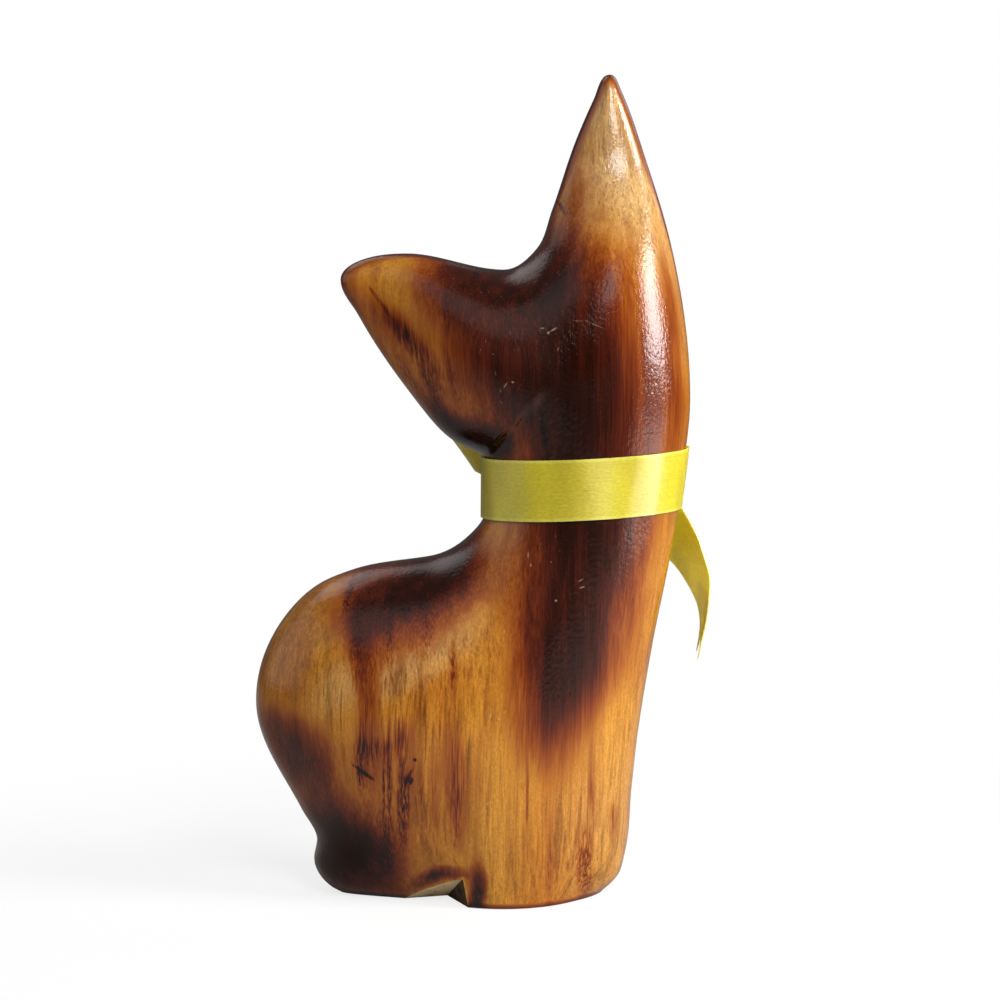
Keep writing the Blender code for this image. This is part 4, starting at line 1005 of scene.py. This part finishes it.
def stripMesh(stations, countAlong, notch=0.0, pleats=None, closed=False, countAcross=16):
    # Ribbon along a path of (middle point, width vector). notch is the share of the length that a
    # swallowtail cuts out, and pleats(along, share) lifts the cloth off its plane.
    table = np.array(stations, dtype=float)
    shares = [2.0 * k / countAcross - 1.0 for k in range(countAcross + 1)]
    mesh = bmesh.new()
    uv = mesh.loops.layers.uv.new("ribbonMm")
    rows = []
    run = 0.0
    last = None
    for k in range(countAlong):
        lower, upper, widths = [], [], []
        for share in shares:
            place = k / (countAlong - 1) * (1.0 - notch * (1.0 - abs(share)))
            row = pathRow(table, place)
            ahead = pathRow(table, min(place + 0.01, 1.0)) - pathRow(table, max(place - 0.01, 0.0))
            width = Vector(row[3:6])
            normal = Vector(ahead[0:3]).cross(width).normalized()
            point = Vector(row[0:3]) + 0.5 * share * width
            if pleats:
                point += pleats(place, share) * normal
            lower.append(mesh.verts.new((point - 0.5 * ribbon["thickness"] * normal) * mm))
            upper.append(mesh.verts.new((point + 0.5 * ribbon["thickness"] * normal) * mm))
            widths.append(0.5 * (share + 1.0) * ribbon["width"])
        middle = Vector(pathRow(table, k / (countAlong - 1))[0:3])
        run += (middle - last).length if last else 0.0
        last = middle
        rows.append((lower + upper[::-1], widths + widths[::-1], run))
    joins = list(zip(rows, rows[1:]))
    for (a, v, u0), (b, _, u1) in joins:
        for j in range(len(a)):
            i = (j + 1) % len(a)
            made = mesh.faces.new((a[j], a[i], b[i], b[j]))
            for loop, at in zip(made.loops, ((u0, v[j]), (u0, v[i]), (u1, v[i]), (u1, v[j]))):
                loop[uv].uv = at
    if closed:
        first, final = rows[0][0], rows[-1][0]
        bmesh.ops.weld_verts(mesh, targetmap={b: a for a, b in zip(first, final)})
    else:
        for section, v, u in (rows[0], rows[-1]):
            for j in range(countAcross):
                i = len(section) - 1 - j
                made = mesh.faces.new((section[j], section[j + 1], section[i - 1], section[i]))
                for loop in made.loops:
                    loop[uv].uv = (u, v[j])
    bmesh.ops.recalc_face_normals(mesh, faces=mesh.faces)
    return mesh, run


def addRibbon(name, node, mesh, length):
    data = toData(name, mesh)
    data.set_sharp_from_angle(angle=math.radians(50))
    piece = addPiece(name, data, [satinCloth], "yellow_satin", node)
    print("Ribbon piece", name, "length", round(length, 1), "mm")
    return piece


def makeCollar():
    stations = []
    for k in range(181):
        angle = 2.0 * math.pi * k / 180
        low, high = collarPoint(angle, 0.0, 0.2), collarPoint(angle, 1.0, 0.2)
        stations.append((*((low + high) / 2), *(high - low)))

    def slack(along, share):  # faint ripples where the ribbon isn't pulled quite flat
        turn = 2.0 * math.pi * along
        return 0.06 * math.sin(7 * turn + 1.0) * share + 0.05 * math.sin(13 * turn) * share**2
    mesh, run = stripMesh(stations, 181, pleats=slack, closed=True)
    return addRibbon("satinCollar", "ribbon_collar", mesh, run)


knotSide = 0.42 * ribbon["knotWidth"]
knotX = neckX - ribbon["knotOffset"]


def knotPlace():
    reach = 0.0
    for k in range(collarSteps // 2):
        for share in (0.0, 0.5, 1.0):
            point = collarPoint(2.0 * math.pi * k / collarSteps, share, 0.4)
            if abs(point.x - knotX) <= 0.3 * ribbon["knotWidth"]:
                reach = max(reach, point.y)
    return Vector((knotX, reach + 0.3 + 0.5 * ribbon["knotThickness"], ribbonZ - slope * ribbon["knotOffset"]))


knotCentre = knotPlace()


def makeKnot():
    # the tight turn of ribbon round the middle of the bow, gathered into pleats
    stations = []
    for k in range(49):
        turn = 2.0 * math.pi * k / 48
        up = math.copysign(abs(math.sin(turn)) ** 0.75, math.sin(turn))
        out = math.copysign(abs(math.cos(turn)) ** 0.75, math.cos(turn))
        wide = ribbon["knotWidth"] * (0.86 + 0.10 * abs(up))
        stations.append((knotCentre.x, knotCentre.y + 0.46 * ribbon["knotThickness"] * out,
                         knotCentre.z + 0.48 * ribbon["knotHeight"] * up, wide, 0.0, 0.5 * math.sin(turn)))

    def gathers(along, share):
        return 0.28 * math.cos(share * math.pi * 3.2 + 0.6 * math.sin(2 * math.pi * along)) - 0.7 * share**4
    mesh, run = stripMesh(stations, 97, pleats=gathers, closed=True, countAcross=28)
    return addRibbon("satinKnot", "ribbon_knot", mesh, run)


def makeLoop(name, node, direction, lean, rise):
    gathered = 0.55 * ribbon["width"]
    entry = knotSide - 1.2
    profile = (  # as shares: reach from the knot, distance outward, spread of the width, lean and rise
        (0.00, 0.10, 0.00, 0.00), (0.10, 0.24, 0.16, 0.02), (0.24, 0.56, 0.45, 0.10),
        (0.40, 0.78, 0.70, 0.26), (0.57, 0.90, 0.90, 0.46), (0.74, 0.90, 1.00, 0.66),
        (0.88, 0.78, 1.00, 0.86), (0.97, 0.60, 1.00, 0.97), (1.00, 0.39, 1.00, 1.00),
        (0.96, 0.17, 1.00, 0.97), (0.86, 0.04, 1.00, 0.86), (0.70, -0.01, 0.96, 0.66),
        (0.54, -0.03, 0.80, 0.48), (0.36, -0.05, 0.56, 0.24), (0.20, -0.06, 0.32, 0.10),
        (0.00, -0.06, 0.00, 0.00),
    )
    stations = []
    for reach, outward, spread, turn in profile:
        width = gathered + spread * (ribbon["width"] - gathered)
        stations.append((
            knotCentre.x + direction * (entry + reach * (ribbon["loopLength"] + 1.2)),
            knotCentre.y + outward * ribbon["loopDepth"],
            knotCentre.z + rise * turn,
            direction * width * math.sin(lean * turn), 0.0, width * math.cos(lean * turn)))

    def pleats(along, share):  # folds that fan out from the knot
        near = max(0.0, 1.0 - min(along, 1.0 - along) / 0.32)
        return 0.42 * near**1.4 * math.cos(share * math.pi * 2.6) + 0.12 * math.sin(9.0 * along + 2.0 * share)
    mesh, run = stripMesh(stations, 90, pleats=pleats, countAcross=20)
    return addRibbon(name, node, mesh, run)


def tailFolds(reach, ripple, waves):
    def pleats(along, share):  # folds that fan out from the knot, then soft ripples
        near = max(0.0, 1.0 - along / reach)
        return 0.35 * near * math.cos(share * math.pi * 2.2) + ripple * math.sin(waves * along + 1.5 * share)
    return pleats


def makeRightTail():
    # round the neck from under the knot, then hanging free and twisting edge on
    first = math.acos((knotSide + ribbon["gap"] - ribbon["knotOffset"]) / halfNeck)
    last = math.radians(38.0)
    stations = []
    for k in range(7):
        t = k / 6
        angle = first + t * (last - first)
        share = 0.36 - 0.64 * t**2
        outward = 1.4 + 3.4 * t**1.5
        centre = collarPoint(angle, share, outward)
        lying = collarPoint(angle, share + 0.5, outward) - collarPoint(angle, share - 0.5, outward)
        turned = ribbon["width"] * Vector((0.40, -0.56, 0.72))
        width = lying.lerp(turned, t**2) * min(1.0, 0.5 + 1.2 * t)
        stations.append((*centre, *width))
    free = (
        (-1.4, 0.00, (0.55, -0.72, 0.43)), (1.8, 0.17, (0.42, -0.84, 0.33)), (4.1, 0.34, (0.31, -0.92, 0.26)),
        (5.2, 0.51, (0.14, -0.97, 0.20)), (5.3, 0.68, (0.03, -0.99, 0.12)), (4.6, 0.84, (-0.03, -1.0, 0.05)),
        (3.8, 0.98, (-0.04, -1.0, 0.0)),
    )
    for out, fallen, direction in free:
        fall = ribbonZ - ribbon["tailTop"] - fallen * ribbon["tailFall"]
        stations.append((neckX + halfNeck + out, ribbon["tailDepth"], fall,
                         *(ribbon["width"] * d for d in direction)))
    mesh, run = stripMesh(stations, 110, notch=0.10, pleats=tailFolds(0.25, 0.10, 11))
    return addRibbon("satinTailRight", "ribbon_tail_right", mesh, run)


def makeLeftTail():
    # down the face side of the chest from under the knot
    stations = []
    top = knotCentre.z - 0.5 * ribbon["knotHeight"] + 0.8
    for k in range(9):
        t = k / 8
        x = knotCentre.x - 1.0 - 12.0 * t**1.3
        z = top - ribbon["tailLength"] * 0.945 * t
        width = ribbon["width"] * min(1.0, 0.50 + 1.7 * t)
        reach = max(halfThickness(x + s * width, z, 1)[0] for s in (-0.5, 0.0, 0.5))
        y = reach + 1.0 + 1.6 * math.sin(math.pi * t)
        y += (knotCentre.y - 1.0 - y) * (1.0 - t) ** 6
        stations.append((x, y, z, width, 0.0, 0.18 * width * t))
    mesh, run = stripMesh(stations, 90, notch=0.13, pleats=tailFolds(0.3, 0.12, 9))
    return addRibbon("satinTailLeft", "ribbon_tail_left", mesh, run)


makeCollar()
makeKnot()
makeLoop("satinLoopLeft", "ribbon_loop_left", -1.0, math.radians(36.0), 6.5)
makeLoop("satinLoopRight", "ribbon_loop_right", 1.0, math.radians(-14.0), 1.0)
makeRightTail()
makeLeftTail()


studio = {
    "floor": "#B0AEAA",
    "world": 0.12,
    "aim": (0.0065, 0.0, 0.099),
    "camera": (0.0065, -0.8, 0.18308),
    "lens": 115.83,
    "halfSpread": math.radians(50),  # grids on the soft boxes keep their light off the floor
    # each soft box, seen from the cat: degrees right of the camera, degrees up, distance in metres,
    # metres across and up, and how bright its face is where 1 is white paper
    "lamps": [
        ("windowRight", 71.0, 17.0, 0.65, 0.27, 0.33, 24.5),
        ("windowSill", 66.0, -8.0, 0.40, 0.24, 0.065, 4.0),
        ("windowFront", 18.0, 27.0, 0.75, 0.26, 0.36, 15.0),
        ("wallFront", -24.0, 42.0, 0.90, 0.90, 0.60, 0.5),
        ("wallLeft", -88.0, 18.0, 0.80, 0.90, 0.60, 0.85),
        ("backRight", 143.0, 30.0, 0.90, 0.70, 0.50, 1.8),
        ("backLeft", -138.0, 50.0, 0.90, 0.60, 0.45, 1.5),
    ],
}


def makeFloor():
    # pale paper sheet: white to the camera, with the object's shadow left in it
    mesh = bmesh.new()
    bmesh.ops.create_grid(mesh, x_segments=1, y_segments=1, size=6.0)
    floor = placeObject("paperFloor", toData("paperFloor", mesh, smooth=False))
    material, tree, shader = startMaterial("palePaper")
    seen = addNode(tree, "LightPath").outputs["Is Camera Ray"]
    tone = addNode(tree, "Mix", {0: seen, 6: linear(studio["floor"]), 7: linear("#FFFFFF")}, data_type="RGBA")
    fillInputs(tree, shader, {"Base Color": tone, "Roughness": 0.9, "Specular IOR Level": 0.2})
    glow = addNode(tree, "Emission", {"Color": (1, 1, 1, 1), "Strength": 1.0})
    away = addNode(tree, "VectorMath", {0: addNode(tree, "TexCoord").outputs["Object"]}, operation="LENGTH")
    fade = addNode(tree, "MapRange", {"Value": away, "From Min": 0.08, "From Max": 0.22, "To Min": 0.78},
                   interpolation_type="SMOOTHSTEP")
    share = addNode(tree, "Math", {0: seen, 1: fade}, operation="MULTIPLY")
    mixed = addNode(tree, "MixShader", {0: share, 1: shader, 2: glow})
    fillInputs(tree, tree.nodes["Material Output"], {"Surface": mixed})
    floor.data.materials.append(material)
    floor.location.z = -0.0002


def makeLight():
    world = bpy.data.worlds.new("dimRoom")
    bpy.context.scene.world = world
    world.use_nodes = True
    tree = world.node_tree
    seen = addNode(tree, "LightPath").outputs["Is Camera Ray"]
    level = addNode(tree, "MapRange", {"Value": seen, "To Min": studio["world"]})
    fillInputs(tree, tree.nodes["Background"], {"Color": (1, 1, 1, 1), "Strength": level})
    aim = Vector(studio["aim"])
    gridShare = 1.0 - studio["halfSpread"] / math.tan(studio["halfSpread"])  # of the light, through the grid
    for name, turn, rise, distance, across, up, bright in studio["lamps"]:
        lamp = bpy.data.lights.new(name, "AREA")
        lamp.shape = "RECTANGLE"
        lamp.size, lamp.size_y = across, up
        lamp.spread = 2.0 * studio["halfSpread"]
        lamp.energy = bright * math.pi * across * up * gridShare
        holder = placeObject(name, lamp)
        turn, rise = math.radians(turn), math.radians(rise)
        away = Vector((math.sin(turn) * math.cos(rise), -math.cos(turn) * math.cos(rise), math.sin(rise)))
        holder.location = aim + distance * away
        holder.rotation_euler = (-away).to_track_quat("-Z", "Y").to_euler()
        holder.visible_camera = False


def makeCamera():
    camera = bpy.data.cameras.new("camera")
    camera.lens = studio["lens"]
    camera.sensor_width = 36.0
    holder = placeObject("camera", camera)
    holder.location = studio["camera"]
    ahead = Vector(studio["aim"]) - Vector(studio["camera"])
    holder.rotation_euler = ahead.to_track_quat("-Z", "Y").to_euler()
    bpy.context.scene.camera = holder


makeFloor()
makeLight()
makeCamera()
bpy.context.scene.view_settings.view_transform = "Standard"
print("Set up the floor, light and camera")
